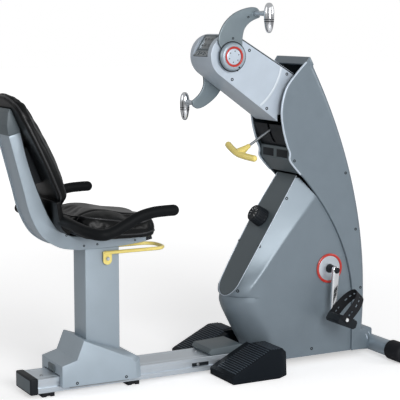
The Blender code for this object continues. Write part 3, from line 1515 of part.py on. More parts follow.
def seat_frame():
    """The bent frame behind and under the cushions: two side plates joined by a web, with a
    bracket that carries the back cushion and a bush for the armrests' cross tube."""
    half = SEAT_FRAME_HALF_WIDTH
    outer = smooth_path(FRAME_OUTER, 19)
    inner = smooth_path(FRAME_INNER, 19)
    obj = plate("seat_frame", "silver_shell", [outer + inner[::-1]], -half, half)
    web = beside(inner, -0.006)
    open_side = beside(outer, -0.030)
    trough = open_side[:15] + web[14::-1]
    trough += [(web[0][0] - 0.02, web[0][1] + 0.08), (open_side[0][0] - 0.02, open_side[0][1] + 0.08)]
    plate_inner = half - SEAT_FRAME_PLATE
    cut(obj, plate("seat_trough", "steel", [trough], -plate_inner, plate_inner))
    back = [(x, z) for x, z, _, _ in BACK_PATH]
    face = beside(back, 3 * CLEARANCE)[2:5]
    bracket = face + [(-1.2425, 0.885), (-1.2185, 0.800), (-1.207, 0.765)]
    join(obj, plate("back_bracket", "steel", [bracket], -0.045, 0.045))
    x, z = ARMREST_CROSSING
    join(obj, cross_bar("cross_tube", "steel", (x, z), -half, half, CROSS_TUBE_RADIUS, 16))
    web = [(x, z + 0.010), (x - 0.037, z + 0.014), (x - 0.024, z - 0.016), (x, z - 0.010)]
    join(obj, plate("cross_tube_web", "steel", [web], -half + 0.002, half - 0.002))
    return obj


def back_plate():
    """The darker plate that closes the seat frame's trough from behind."""
    half = SEAT_FRAME_HALF_WIDTH - SEAT_FRAME_PLATE - CLEARANCE
    outer = smooth_path(FRAME_OUTER, 19)
    low = beside(outer, 0.004)[:10]
    high = beside(outer, 0.0075)[:10]
    return plate("back_plate", "dark_grey", [low + high[::-1]], -half, half)


def frame_top_cap():
    """The black cover between the seat frame's upper end and the back cushion."""
    gap = 2 * CLEARANCE
    back = smooth_path([(x, z) for x, z, _, _ in BACK_PATH], 29)
    face = [point for point in beside(back, 3 * CLEARANCE) if 0.957 < point[1] < 1.036]
    outline = [(FRAME_OUTER[0][0], FRAME_OUTER[0][1] + gap)]
    outline += [(FRAME_INNER[0][0], FRAME_INNER[0][1] + gap)] + face
    outline += [(-1.291, 1.036), (-1.298, 1.022), (-1.303, 0.978)]
    half = SEAT_FRAME_HALF_WIDTH
    obj = plate("frame_top_cap", "black_plastic", [outline], -half, half)
    return obj


def cushion(name, path, half_width, taper, dish, across_steps=12, along_steps=16):
    """A padded cushion along a bent underside: crowned, drawn in at its sides, two sewn channels.

    u runs across and v along, both from -1 to 1. The padding rises from 30 percent of the path's
    thickness at the rim by ((1 - |u|^4)(1 - |v|^6))^0.42, less a dish and the channels. The
    outline's corners are drawn in by 20 percent of u^2 v^2.
    """
    line = np.array(path)
    lengths = np.concatenate([[0], np.cumsum(np.hypot(*np.diff(line[:, :2], axis=0).T))])
    reach = 2 * lengths / lengths[-1] - 1
    u, v = np.meshgrid(
        np.sin(np.linspace(-pi / 2, pi / 2, across_steps + 1)),
        np.sin(np.linspace(-pi / 2, pi / 2, along_steps + 1)),
    )
    corner = 1 - 0.20 * u**2 * v**2
    edge = np.clip((1 - np.abs(u) ** 4) * (1 - np.abs(v) ** 6), 0, 1) ** 0.42
    channel = 0.005 * np.exp(-(((np.abs(u) - 0.55) / 0.07) ** 2)) * edge
    dip = dish * np.cos(u * pi / 2) ** 2 * edge
    layers = []
    for shrink, padded in ((1 - 0.05 * (1 - edge), 1), (0.94, 0)):
        place = v * corner * (1 if padded else 0.955)
        ahead, height, turn, thickness = (np.interp(place, reach, line[:, k]) for k in range(4))
        rise = padded * (thickness * (0.30 + 0.70 * edge) - dip - channel)
        over = u * corner * shrink * half_width * (1 + taper * v)
        layers.append(
            np.stack([CRANK_X + ahead + rise * np.cos(turn), over, height + rise * np.sin(turn)], -1)
        )
    rows, columns = u.shape
    offset = rows * columns
    faces = []
    for i in range(rows - 1):
        for j in range(columns - 1):
            a = i * columns + j
            quad = (a, a + 1, a + columns + 1, a + columns)
            faces += [quad, tuple(offset + corner for corner in quad[::-1])]
    rim = list(range(columns)) + [i * columns + columns - 1 for i in range(1, rows)]
    rim += [(rows - 1) * columns + j for j in range(columns - 2, -1, -1)]
    rim += [i * columns for i in range(rows - 2, 0, -1)]
    for first, second in zip(rim, rim[1:] + rim[:1]):
        faces.append((first, offset + first, offset + second, second))
    mesh = bpy.data.meshes.new(name)
    mesh.from_pydata(np.concatenate(layers).reshape(-1, 3).tolist(), [], faces)
    shape = bmesh.new()
    shape.from_mesh(mesh)
    bmesh.ops.recalc_face_normals(shape, faces=shape.faces)
    shape.to_mesh(mesh)
    shape.free()
    obj = add(name, mesh, "vinyl")
    smooth(obj, radians(60))
    return obj


def seat_cushions():
    """The seat cushion on the frame's level part, and the back cushion on its upright part."""
    cushion("seat_cushion", SEAT_PATH, SEAT_HALF_WIDTH, -0.06, 0.008)
    cushion("back_cushion", BACK_PATH, BACK_HALF_WIDTH, -0.08, 0.004)


def armrest(side_name, side):
    """One armrest: a bent tube in a foam grip that comes forward from behind the seat."""
    x, z = ARMREST_CROSSING
    spread = ARMREST_SPREAD
    path = [
        (x, z, SEAT_FRAME_HALF_WIDTH + CLEARANCE),
        (x, z, 0.080),
        (x - 0.003, z - 0.001, 0.160),
        (x - 0.005, z - 0.004, 0.250),
        (x + 0.003, z - 0.010, 0.330),
        (-1.088, 0.624, spread - 0.004),
        (-1.050, 0.630, spread),
        (-1.000, 0.652, spread),
        (-0.950, 0.676, spread),
        (-0.900, 0.688, spread),
        (-0.850, 0.691, spread),
        (-0.800, 0.691, spread),
    ]
    bend = [path[1]] + smooth_path(path[1:], 24)[1:]
    points = [at((x, z), side * y) for x, z, y in [path[0]] + bend]
    return tube("armrest_" + side_name, "rubber", points, ARMREST_RADIUS, 2)


def seat_lever():
    """The yellow lever: an ear on each side of the post and a rod that loops under the seat."""
    ear_inner = POST_HALF_WIDTH + 0.006
    ear_outer = ear_inner + 0.004
    level = 0.503
    front = -0.690
    half = ear_outer - 0.002
    corner = 0.045
    points = [(-0.942, level, -half), (front - corner, level, -half)]
    points += [
        (front - corner + corner * sin(angle), level, -half + corner * (1 - cos(angle)))
        for angle in np.linspace(0, pi / 2, 5)[1:]
    ]
    points += [(x, z, -y) for x, z, y in points[::-1]]
    obj = tube("seat_lever", "yellow", [at((x, z), y) for x, z, y in points], LEVER_ROD_RADIUS, 2)
    x, z = LEVER_PIVOT
    ear = [(x - 0.017, 0.508), (x + 0.017, 0.508), (x + 0.017, z - 0.006)]
    ear += arc((x, z - 0.006), 0.017, 0, -pi, 7)[1:-1] + [(x - 0.017, z - 0.006)]
    for side in (-1, 1):
        low, high = sorted((side * ear_inner, side * ear_outer))
        join(obj, plate(f"lever_ear_{side}", "yellow", [ear], low, high))
        across = sorted((side * (ear_inner - 0.001), side * ear_outer))
        spacer = box(f"lever_spacer_{side}", "yellow", (x - 0.010, x + 0.010), across, (0.498, 0.508))
        join(obj, spacer)
    cut(obj, cross_bar("lever_bore", "steel", LEVER_PIVOT, -0.1, 0.1, 0.0045 + RUNNING_CLEARANCE, 16))
    return obj


def hang(joint, place, nodes, under=None):
    """Puts moving pieces under an empty that stands on their joint's axis."""
    axis = bpy.data.objects.new(joint + "_axis", None)
    axis.empty_display_size = 0.05
    PARTS.objects.link(axis)
    axis.location = place
    if under:
        axis.parent = under
        axis.matrix_parent_inverse = Matrix.Translation(-under.location)
    for name in nodes:
        obj = bpy.data.objects[name]
        obj.parent = axis
        obj.matrix_parent_inverse = Matrix.Translation(-place)
    return axis


def build():
    """Makes every piece of the bike."""
    rail()
    rail_end_cap()
    rail_feet()
    foot_platforms()
    base_frame()
    for side_name, side in SIDES.items():
        lower_shell(side_name)
        tower_shell(side_name)
        arm_shell(side_name)
        hand_plate(side_name, side)
        handle(side_name, side)
        pedal(side_name, side)
        armrest(side_name, side)
    front_panel()
    resistance_knob()
    neck_cover()
    slot_cover()
    stabiliser()
    stabiliser_collar()
    crankset()
    flywheel()
    drive_belt()
    brake_magnet()
    arm_frame()
    arm_pivot_axle()
    console()
    hand_axle()
    hand_brake()
    lock_handle()
    carriage()
    seat_post()
    seat_frame()
    back_plate()
    frame_top_cap()
    seat_cushions()
    seat_lever()


def joints():
    """The axis of each joint, with the pieces that move on it."""
    seat = ["carriage_slide", "carriage_cover", "seat_post", "seat_frame", "back_plate"]
    seat += ["frame_top_cap", "seat_cushion", "back_cushion", "armrest_right", "armrest_left"]
    slide = hang("seat_carriage", at((POST_REAR, RAIL_TOP)), seat)
    hang("seat_lever", at(LEVER_PIVOT), ["seat_lever"], slide)
    crank = ["crank_spindle", "drive_pulley", "crank_arm_right", "crank_arm_left"]
    crank += ["crank_disc_right", "crank_disc_left"]
    spindle = hang("pedal_crank", at((0, CRANK_HEIGHT)), crank)
    hang("flywheel", at((-FLYWHEEL_BEHIND, FLYWHEEL_HEIGHT)), ["flywheel"])
    raised = ["arm_frame", "arm_shell_right", "arm_shell_left", "console", "hand_brake_magnet"]
    raised += ["key_mode", "key_up", "key_down"]
    arm = hang("arm", at(PIVOT), raised)
    turning = ["hand_axle", "hand_plate_right", "hand_plate_left", "hand_brake_disc"]
    hub = hang("hand_crank", at(ARM_HUB), turning, arm)
    for side_name, side in SIDES.items():
        pieces = ["pedal_" + side_name, "pedal_strap_" + side_name]
        hang("pedal_" + side_name, at(crank_end(side)), pieces, spindle)
        hang("handle_" + side_name, at(hand_tip(side)), ["handle_" + side_name], hub)
    hang("lock_handle", at(LOCK_CROSSING), ["lock_handle"], arm)
    hang("resistance_knob", knob_seat()[0], ["resistance_knob"])


build()
joints()
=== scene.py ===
"""Looks of the dual motion recumbent bike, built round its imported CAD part.

Metres, +Z up; the rider faces +X and has -Y on the right. Side-view pairs are (how far ahead
of the pedal crank's axis, height above the floor), and mm() makes them from millimetres. Every
finished piece has its points in the CAD part's frame and its object at the origin.
"""

from math import acos, asin, atan2, cos, hypot, pi, radians, sin, sqrt, tan

import bmesh
import bpy
import numpy as np
from mathutils import Matrix, Vector
from mathutils.bvhtree import BVHTree


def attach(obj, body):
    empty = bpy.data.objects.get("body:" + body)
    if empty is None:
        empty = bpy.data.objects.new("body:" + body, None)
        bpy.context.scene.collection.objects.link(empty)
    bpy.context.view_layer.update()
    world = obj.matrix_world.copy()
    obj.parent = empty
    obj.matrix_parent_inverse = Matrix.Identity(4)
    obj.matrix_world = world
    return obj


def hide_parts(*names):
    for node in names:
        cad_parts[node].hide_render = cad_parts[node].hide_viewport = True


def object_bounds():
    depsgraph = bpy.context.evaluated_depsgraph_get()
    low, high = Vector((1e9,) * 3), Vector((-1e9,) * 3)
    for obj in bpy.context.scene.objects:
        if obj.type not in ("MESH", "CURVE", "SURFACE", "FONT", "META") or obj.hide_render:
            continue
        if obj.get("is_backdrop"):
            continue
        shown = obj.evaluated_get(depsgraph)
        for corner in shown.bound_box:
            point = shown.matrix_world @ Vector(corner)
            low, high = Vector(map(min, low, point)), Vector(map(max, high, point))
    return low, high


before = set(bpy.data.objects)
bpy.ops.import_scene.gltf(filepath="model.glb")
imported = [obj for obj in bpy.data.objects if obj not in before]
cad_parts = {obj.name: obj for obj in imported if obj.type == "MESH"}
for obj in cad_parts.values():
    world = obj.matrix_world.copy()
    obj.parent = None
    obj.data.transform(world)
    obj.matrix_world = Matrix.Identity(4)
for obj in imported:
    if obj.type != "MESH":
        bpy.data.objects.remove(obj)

bl_info = {
    "name": "Dual motion recumbent bike",
    "version": (1, 0, 0),
    "blender": (4, 5, 0),
    "location": "3D View > Sidebar > Bike",
    "description": "Builds the visual model of a dual motion recumbent bike round its CAD frame",
    "category": "Object",
}


def mm(*values):
    """Pairs in metres from millimetres that are given one after the other."""
    return [(a / 1000, b / 1000) for a, b in zip(values[::2], values[1::2])]


CRANK_X = 0.5158
CRANK = (0.0, 0.371)
CRANK_THROW = 0.178
SIDES = {"right": -1, "left": 1}

# The covers' edges, as in the CAD part
PANEL_TOP = (-0.128, 0.745)
PANEL_ANGLE = radians(57.9)
PANEL_LENGTH = 0.544
PANEL_HALF = 0.070
PANEL_STRAIGHT = PANEL_LENGTH - PANEL_HALF
PANEL_BOW = 0.006
COVER_FOOT = 0.028
SEAM_TOP = 0.735
TOWER_TIP = 1.180
TOWER_REAR_EDGE = mm(-100, 1198, -164, 1135, -209, 1078, -228, 1002, -222, 934, -203, 867, -190, 835,
                     -188, 803, -141, 750, -125.4, 735)
CHIN_EDGE = mm(-417.1, 284.2, -420.5, 262, -411, 230, -393, 194, -372, 154, -347, 108, -301, 28)
COLLAR_ARCH = mm(113.7, 0, 113.7, 75, 118.3, 92.5, 129.7, 104.7, 149.8, 110.2, 250, 110.8, 250, 0)

# The arm, and the hand cranks as (distance from the hub, degrees from the crank's direction)
PIVOT = (-0.030, 0.980)
HUB = (-0.433, 1.203)
DRUM_RADIUS = 0.082
ARM_HALF = 0.083
SLOT_RADIUS = 0.194
HAND_RADIUS = 0.188
HAND_ANGLE = radians(57.5)
HAND_OPPOSITION = radians(197)
HORN_OUTER = [(0.050, 92), (0.086, 75), (0.123, 50), (0.158, 30), (0.190, 13), (0.207, 3), (0.204, -4)]
HORN_INNER = [(0.186, -7), (0.160, -1.5), (0.138, 2.5), (0.114, 4.5), (0.088, 1), (0.060, -14),
              (0.050, -30)]
CONSOLE_ANGLE = radians(56.6)
LOCK_ANGLE = radians(31)
LOCK_CROSSING = (-0.213, 0.913)
KEYS = {"key_down": (-0.034, 0.005), "key_mode": (0.0, 0.011), "key_up": (0.034, 0.005)}
KEY_ROW = 0.081

# The seat; the cushions' rows are a side-view pair, the padding's direction and its thickness
FRAME_OUTER = mm(-1297, 940, -1272, 845, -1247, 750, -1222, 657, -1180, 581, -1117, 537, -1048, 523,
                 -1014, 522, -878, 524, -775, 534)
FRAME_INNER = mm(-1254.5, 952, -1236, 870, -1212, 790, -1184, 715, -1155, 650, -1125, 608, -1088, 582,
                 -1048, 572, -900, 568, -775, 563)
SEAT_PATH = [
    (-1.092, 0.5930, 84, 0.083), (-1.048, 0.5740, 90, 0.098), (-1.000, 0.5714, 90, 0.102),
    (-0.950, 0.5701, 90, 0.097), (-0.885, 0.5680, 90, 0.084), (-0.820, 0.5655, 90, 0.079),
    (-0.764, 0.5632, 88, 0.080), (-0.756, 0.5560, 84, 0.086), (-0.746, 0.5530, 78, 0.084),
]
BACK_PATH = [
    (-1.131, 0.666, 4, 0.030), (-1.145, 0.722, 13, 0.044), (-1.171, 0.775, 22, 0.054),
    (-1.198, 0.838, 24, 0.055), (-1.226, 0.900, 25, 0.053), (-1.2525, 0.958, 25, 0.050),
    (-1.2865, 1.035, 26, 0.046), (-1.3100, 1.083, 30, 0.042),
]
ARMREST_PATH = [
    (-1.121, 0.640, 0.080), (-1.124, 0.639, 0.160), (-1.126, 0.636, 0.250), (-1.118, 0.630, 0.330),
    (-1.088, 0.624, 0.371), (-1.050, 0.630, 0.375), (-1.000, 0.652, 0.375), (-0.950, 0.676, 0.375),
    (-0.900, 0.688, 0.375), (-0.850, 0.691, 0.375), (-0.800, 0.691, 0.375),
]
LEVER_BOLT = (-0.930, 0.482)

# Finish: roughness, metallic, coat, the grain's cells per metre, bump
FINISHES = {
    "cover": (0.40, 0.30, 0.10, 900, 0.04),
    "hood": (0.40, 0.25, 0.10, 900, 0.04),
    "inside": (0.70, 0.0, 0.0, 500, 0.10),
    "paint": (0.36, 0.30, 0.15, 700, 0.03),
    "arm": (0.34, 0.20, 0.15, 900, 0.03),
    "horn": (0.34, 0.35, 0.10, 900, 0.04),
    "dark": (0.46, 0.10, 0.0, 800, 0.06),
    "black": (0.48, 0.0, 0.0, 650, 0.14),
    "tread": (0.52, 0.0, 0.0, 650, 0.14),
    "vinyl": (0.32, 0.0, 0.0, 520, 0.12),
    "piping": (0.36, 0.0, 0.10, 520, 0.10),
    "foam": (0.55, 0.0, 0.0, 420, 0.20),
    "rubber": (0.62, 0.0, 0.0, 420, 0.15),
    "yellow": (0.30, 0.0, 0.25, 500, 0.02),
    "red": (0.32, 0.0, 0.20, 500, 0.02),
    "white": (0.50, 0.0, 0.0, 500, 0.02),
    "aluminium": (0.34, 0.75, 0.0, 700, 0.06),
    "disc": (0.30, 0.60, 0.05, 700, 0.03),
    "chrome": (0.17, 1.0, 0.0, 60, 0.0),
    "steel": (0.38, 0.90, 0.0, 600, 0.05),
    "iron": (0.55, 0.70, 0.0, 300, 0.15),
    "display": (0.16, 0.0, 0.60, 60, 0.0),
    "rib": (0.42, 0.0, 0.0, 650, 0.10),
    "band": (0.34, 0.10, 0.10, 900, 0.02),
    "floor": (0.75, 0.0, 0.0, 8, 0.0),
}
HIDES = ("vinyl", "piping")
# How far the grain of the brushed metals is drawn out
BRUSHED = {"aluminium": (0.02, 1, 1), "disc": (1, 0.05, 1), "steel": (1, 0.1, 1)}
# The specular level of the finishes that mirror less than plain plastic does
MATT = {"tread": 0.10, "rib": 0.30, "vinyl": 0.20, "foam": 0.10, "rubber": 0.18, "black": 0.20,
        "inside": 0.10}
# The finishes of the CAD parts inside the covers
INNER_FINISHES = {
    "black": ("base_frame", "drive_pulley", "arm_frame"),
    "rubber": ("drive_belt",),
    "iron": ("flywheel",),
    "steel": ("brake_magnet", "arm_pivot_axle", "carriage_slide", "crank_spindle",
              "hand_brake_magnet", "hand_axle", "hand_brake_disc"),
}


def colour(label, value, about):
    """A colour property with its default."""
    return bpy.props.FloatVectorProperty(
        name=label, description=about, default=value, subtype="COLOR", min=0, max=1
    )


def length(label, value, about):
    """A length property with its default."""
    return bpy.props.FloatProperty(
        name=label, description=about, default=value, unit="LENGTH", min=0, precision=4
    )


class BikeColours(bpy.types.PropertyGroup):
    """The base colour of each finish."""

    cover: colour("Tower covers", (0.198, 0.245, 0.285), "Satin silver-grey drive covers")
    # The hood's colour is that of its lit sides; its rear and top faces take the painted-steel colour as
    # painted shade.
    hood: colour("Carriage hood", (0.42, 0.50, 0.57), "Satin silver of the hood at the post")
    inside: colour("Inside", (0.030, 0.040, 0.047), "Unlit inside of the covers")
    paint: colour("Painted steel", (0.36, 0.43, 0.49), "Seat post, seat frame, stabiliser")
    # The arm's colour also paints highlights: on the tower's rim beads and on the edges beside the front
    # panel.
    arm: colour("Arm covers", (0.56, 0.64, 0.73), "Light bluish silver of the arm")
    horn: colour("Hand cranks", (0.215, 0.265, 0.295), "Satin grey of the horns")
    # Dark grey also paints shade on the horns' rim faces.
    dark: colour("Dark grey", (0.105, 0.132, 0.148), "Front panel, neck and console")
    # Black also paints shade on the neck box, as its two window plates.
    black: colour("Black plastic", (0.012, 0.015, 0.019), "Caps, pedals, slot cover")
    tread: colour("Tread", (0.006, 0.009, 0.013), "Foot ramps")
    rib: colour("Ribs", (0.050, 0.066, 0.086), "Ribs of the foot ramps")
    # The arm band is lighter than the arm as a painted highlight on the step across the covers; the
    # strip itself stands out a little.
    band: colour("Arm band", (0.72, 0.79, 0.86), "The band across the arm covers")
    vinyl: colour("Vinyl", (0.0025, 0.003, 0.0035), "Cushion covers")
    piping: colour("Piping", (0.022, 0.023, 0.026), "Cushion piping")
    foam: colour("Foam", (0.005, 0.006, 0.007), "Armrest grips")
    rubber: colour("Rubber", (0.012, 0.013, 0.016), "Straps, feet and end caps")
    yellow: colour("Yellow", (0.95, 0.78, 0.24), "Levers that the rider works")
    red: colour("Red", (0.52, 0.030, 0.020), "Rings on the hubs")
    white: colour("White", (0.80, 0.82, 0.84), "Printed marks")
    aluminium: colour("Aluminium", (0.66, 0.72, 0.78), "The rail")
    disc: colour("Hub discs", (0.62, 0.68, 0.74), "Discs at the hubs")
    chrome: colour("Chrome", (0.80, 0.82, 0.85), "Crank arms and handles")
    steel: colour("Steel", (0.34, 0.36, 0.38), "Bolts and axles")
    iron: colour("Cast iron", (0.10, 0.10, 0.11), "The flywheel")
    display: colour("Display", (0.17, 0.20, 0.215), "The display's window")
    floor: colour("Floor", (0.88, 0.88, 0.89), "The studio floor")


class BikeSizes(bpy.types.PropertyGroup):
    """The sizes of the details that the visual model adds to the CAD part's own."""

    tower_half: length("Tower half width", 0.118, "Half the width over the tower's covers")
    lower_half: length("Drive half width", 0.108, "Half the width over the drive covers")
    wall: length("Cover wall", 0.003, "Thickness of the moulded covers")
    # The rim bead is drawn in the light arm finish as a painted highlight.
    bead: length("Rim bead", 0.0042, "Radius of the rounded rim at the tower's rear")
    # The panel edge is drawn in the light arm finish as a painted highlight.
    edge_bead: length("Panel edge", 0.0016, "Radius of the bright edge beside the front panel")
    arm_edge: length("Arm edge", 0.007, "Radius of the arm covers' edge")
    band_rise: length("Arm band", 0.0011, "How far the band stands off the arm's side")
    rib_pitch: length("Rib pitch", 0.0105, "Distance between the ribs of a foot ramp")
    rib_rise: length("Rib rise", 0.0032, "Height of the ribs of a foot ramp")
    piping: length("Piping radius", 0.0030, "Radius of the cushions' piping")
    channel: length("Channel depth", 0.0055, "Depth of the cushions' sewn channels")
    flute: length("Knob flutes", 0.0015, "Depth of the knob's flutes")
    grip: length("T-handle radius", 0.0128, "Radius of the clamp's grip")
    foam: length("Foam radius", 0.0195, "Radius of the armrests' foam")
    rod: length("Lever rod radius", 0.0068, "Radius of the release lever's rod")


# Geometry as arrays


def at(pairs, y):
    """World points of side-view pairs, all at the same Y or at one Y each."""
    pairs = np.asarray(pairs, float).reshape(-1, 2)
    out = np.empty((len(pairs), 3))
    out[:, 0] = CRANK_X + pairs[:, 0]
    out[:, 1] = y
    out[:, 2] = pairs[:, 1]
    return out


def around(centre, radius, angle):
    """The side-view pair at a distance from a centre; angles go from ahead towards up."""
    return (centre[0] + radius * cos(angle), centre[1] + radius * sin(angle))


def arc(centre, radius, start, end, count):
    """Side-view pairs of an arc."""
    return [around(centre, radius, angle) for angle in np.linspace(start, end, count)]


def smooth_path(points, count):
    """A Catmull-Rom curve through the points: on each span, half of
    2b + (c - a)t + (2a - 5b + 4c - d)t^2 + (3b - a - 3c + d)t^3."""
    path = np.array(points, float)
    path = np.vstack([2 * path[0] - path[1], path, 2 * path[-1] - path[-2]])
    place = np.linspace(0, len(points) - 1, count)
    first = np.minimum(place.astype(int), len(points) - 2)
    t = (place - first)[:, None]
    a, b, c, d = (path[first + k] for k in range(4))
    return 0.5 * (
        2 * b + (c - a) * t + (2 * a - 5 * b + 4 * c - d) * t**2 + (3 * b - a - 3 * c + d) * t**3
    )


def along_of(path):
    """The unit direction of a path at each of its points."""
    along = np.gradient(path, axis=0)
    return along / np.linalg.norm(along, axis=1)[:, None]


def beside(points, distance):
    """A side-view line moved sideways, to the left of its direction."""
    path = np.array(points, float)
    along = along_of(path)
    return path + distance * np.stack([-along[:, 1], along[:, 0]], -1)


def band(points, near, far):
    """The outline between two lines that run beside a line."""
    return np.concatenate([beside(points, near), beside(points, far)[::-1]])


def fillet(points, radius, steps=4):
    """A closed outline with its corners rounded: a parabola from one side to the other."""
    path = np.array(points, float)
    made = []
    for before, here, after in zip(np.roll(path, 1, 0), path, np.roll(path, -1, 0)):
        u, w = before - here, after - here
        a, b = np.linalg.norm(u), np.linalg.norm(w)
        turn = acos(max(-1.0, min(1.0, float(u @ w) / (a * b))))
        if turn > radians(170):
            made.append(here)
            continue
        reach = min(radius / tan(turn / 2), 0.45 * a, 0.45 * b)
        start, end = here + u / a * reach, here + w / b * reach
        for t in np.linspace(0, 1, steps + 1):
            made.append((1 - t) ** 2 * start + 2 * t * (1 - t) * here + t**2 * end)
    return np.array(made)


def quads(rows, columns, wrap_rows=False, wrap_columns=False, keep=None):
    """The faces of a grid of points, with its last row or column joined to the first."""
    i, j = np.meshgrid(
        np.arange(rows if wrap_rows else rows - 1),
        np.arange(columns if wrap_columns else columns - 1),
        indexing="ij",
    )
    below, beyond = (i + 1) % rows, (j + 1) % columns
    corners = (i * columns + j, i * columns + beyond, below * columns + beyond, below * columns + j)
    faces = np.stack(corners, -1)
    return (faces if keep is None else faces[keep]).reshape(-1, 4).tolist()


def sheet(rows, keep=None):
    """An open surface through rows of points, only with the faces that keep says."""
    rows = np.asarray(rows, float)
    return rows.reshape(-1, 3), quads(*rows.shape[:2], keep=keep)


def capped(rings):
    """Rings with the same number of points, joined in turn, with a face over each end."""
    rings = np.asarray(rings, float)
    rows, count = rings.shape[:2]
    last = (rows - 1) * count
    caps = [tuple(range(count)), tuple(range(last + count - 1, last - 1, -1))]
    return rings.reshape(-1, 3), quads(rows, count, wrap_columns=True) + caps


def merge(shapes):
    """Several (points, faces) as one."""
    points, faces, start = [], [], 0
    for some, quad in shapes:
        some = np.asarray(some, float).reshape(-1, 3)
        points.append(some)
        faces += [tuple(start + k for k in face) for face in quad]
        start += len(some)
    return np.concatenate(points), faces


def loft(outlines, levels):
    """Side-view outlines with the same number of points, each at its own Y, as a solid."""
    return capped([at(outline, y) for outline, y in zip(outlines, levels)])


def prism(outline, low, high):
    """An outline in the side view, made solid between two values of Y."""
    return loft([outline, outline], (low, high))


def slab(outline, side, near, far):
    """An outline made solid on one side, between two distances from the middle plane."""
    return prism(outline, *sorted((side * near, side * far)))


def block(rear, front, low, high, half):
    """A box across the middle plane."""
    return prism([(rear, low), (rear, high), (front, high), (front, low)], -half, half)


def along_x(section, start, end):
    """A section of (Y, Z) pairs, made solid between two values of X."""
    return capped([np.column_stack([np.full(len(section), x), section]) for x in (start, end)])


def turn_round(profile, centre, axis, steps=64, wave=None):
    """A surface of revolution. The profile's pairs are (radius, height along the axis). Wave
    scales the radius by the angle, and a profile that starts off the axis is closed to a ring."""
    profile = np.array(profile, float)
    axis = Vector(axis).normalized()
    side = Vector((1, 0, 0)) if abs(axis.x) < 0.7 else Vector((0, 0, 1))
    side = (side - axis * side.dot(axis)).normalized()
    other = axis.cross(side)
    angles = np.linspace(0, 2 * pi, steps, endpoint=False)
    radius = profile[:, :1] * (np.ones((1, steps)) if wave is None else wave(profile, angles))
    points = (
        np.array(centre)
        + radius[..., None] * np.cos(angles)[None, :, None] * np.array(side)
        + radius[..., None] * np.sin(angles)[None, :, None] * np.array(other)
        + profile[:, 1][:, None, None] * np.array(axis)
    )
    ring = profile[0][0] > 1e-6
    return points.reshape(-1, 3), quads(len(profile), steps, ring, True)


def along_y(profile, pair, side=1, steps=64, y=0):
    """A surface of revolution about a line along Y, whose heights go outwards from y."""
    return turn_round(profile, at([pair], y)[0], (0, side, 0), steps)


def rod(pair, radius, near, far, side=1, steps=32):
    """A plain round bar along Y, between two distances from the middle plane."""
    return along_y([(0, far), (radius, far), (radius, near), (0, near)], pair, side, steps)


def tube(path, radius, sides=20, closed=False, domed=False):
    """A round bar along a path. Each ring's first direction is the last one's, less its part
    along the path. A domed end's radius falls as the square root of 1 - (1 - s / r)^2."""
    path = np.asarray(path, float)
    if domed:
        steps = np.concatenate([[0], np.cumsum(np.linalg.norm(np.diff(path, axis=0), axis=1))])
        round_in = radius * (1 - np.cos(np.linspace(0.05, pi / 2, 9)))
        middle = np.linspace(radius, steps[-1] - radius, 2 * len(path))[1:-1]
        places = np.concatenate([round_in, middle, steps[-1] - round_in[::-1]])
        path = np.stack([np.interp(places, steps, path[:, k]) for k in range(3)], -1)
        near_end = np.clip(np.minimum(places, steps[-1] - places) / radius, 0, 1)
        radius = radius * np.sqrt(1 - (1 - near_end) ** 2)
    if closed:
        along = np.roll(path, -1, 0) - np.roll(path, 1, 0)
        along /= np.linalg.norm(along, axis=1)[:, None]
    else:
        along = along_of(path)
    first = np.cross(along[0], (0.3, 0.2, 1.0))
    ways = []
    for direction in along:
        first = first - direction * (first @ direction)
        first = first / np.linalg.norm(first)
        ways.append(first)
    ways = np.array(ways)
    others = np.cross(along, ways)
    angles = np.linspace(0, 2 * pi, sides, endpoint=False)
    radius = np.broadcast_to(radius, len(path))[:, None, None]
    points = path[:, None] + radius * (
        np.cos(angles)[None, :, None] * ways[:, None] + np.sin(angles)[None, :, None] * others[:, None]
    )
    if closed:
        return points.reshape(-1, 3), quads(len(path), sides, True, True)
    return capped(points)


def strip(path, normals, width, rise):
    """A flat ribbon that stands on a surface: a rounded section across the path."""
    path, normals = np.asarray(path, float), np.asarray(normals, float)
    across = np.cross(np.gradient(path, axis=0), normals)
    across /= np.linalg.norm(across, axis=1)[:, None]
    section = [(-0.5, -1.0), (-0.5, 0.2), (-0.44, 0.75), (-0.36, 1), (0.36, 1), (0.44, 0.75)]
    section += [(0.5, 0.2), (0.5, -1.0)]
    return capped(np.stack([path + across * width * a + normals * rise * b for a, b in section], 1))


def ridge(foot, way, out, wide, narrow, sink, rise):
    """A ridge's outline on a slope: half its foot, half its top, its depth and its height."""
    corners = ((-wide, -sink), (-narrow, rise), (narrow, rise), (wide, -sink))
    return [foot + way * a + out * b for a, b in corners]


# Pieces


def mesh_object(name, points, faces):
    """A closed or open mesh object with its normals outward."""
    mesh = bpy.data.meshes.new(name)
    mesh.from_pydata(np.asarray(points, float).tolist(), [], faces)
    shape = bmesh.new()
    shape.from_mesh(mesh)
    bmesh.ops.remove_doubles(shape, verts=shape.verts, dist=0.000002)
    bmesh.ops.dissolve_degenerate(shape, dist=0.000001, edges=shape.edges)
    bmesh.ops.recalc_face_normals(shape, faces=shape.faces)
    shape.to_mesh(mesh)
    shape.free()
    obj = bpy.data.objects.new(name, mesh)
    bpy.context.scene.collection.objects.link(obj)
    return obj


def modify(obj, kind, **settings):
    """Adds a modifier with its settings."""
    made = obj.modifiers.new(kind.lower(), kind)
    for key, value in settings.items():
        setattr(made, key, value)


def bevel(obj, width, segments, limit):
    """Rounds the edges that turn by more than limit degrees."""
    modify(obj, "BEVEL", width=width, segments=segments, limit_method="ANGLE",
           angle_limit=radians(limit), use_clamp_overlap=True)


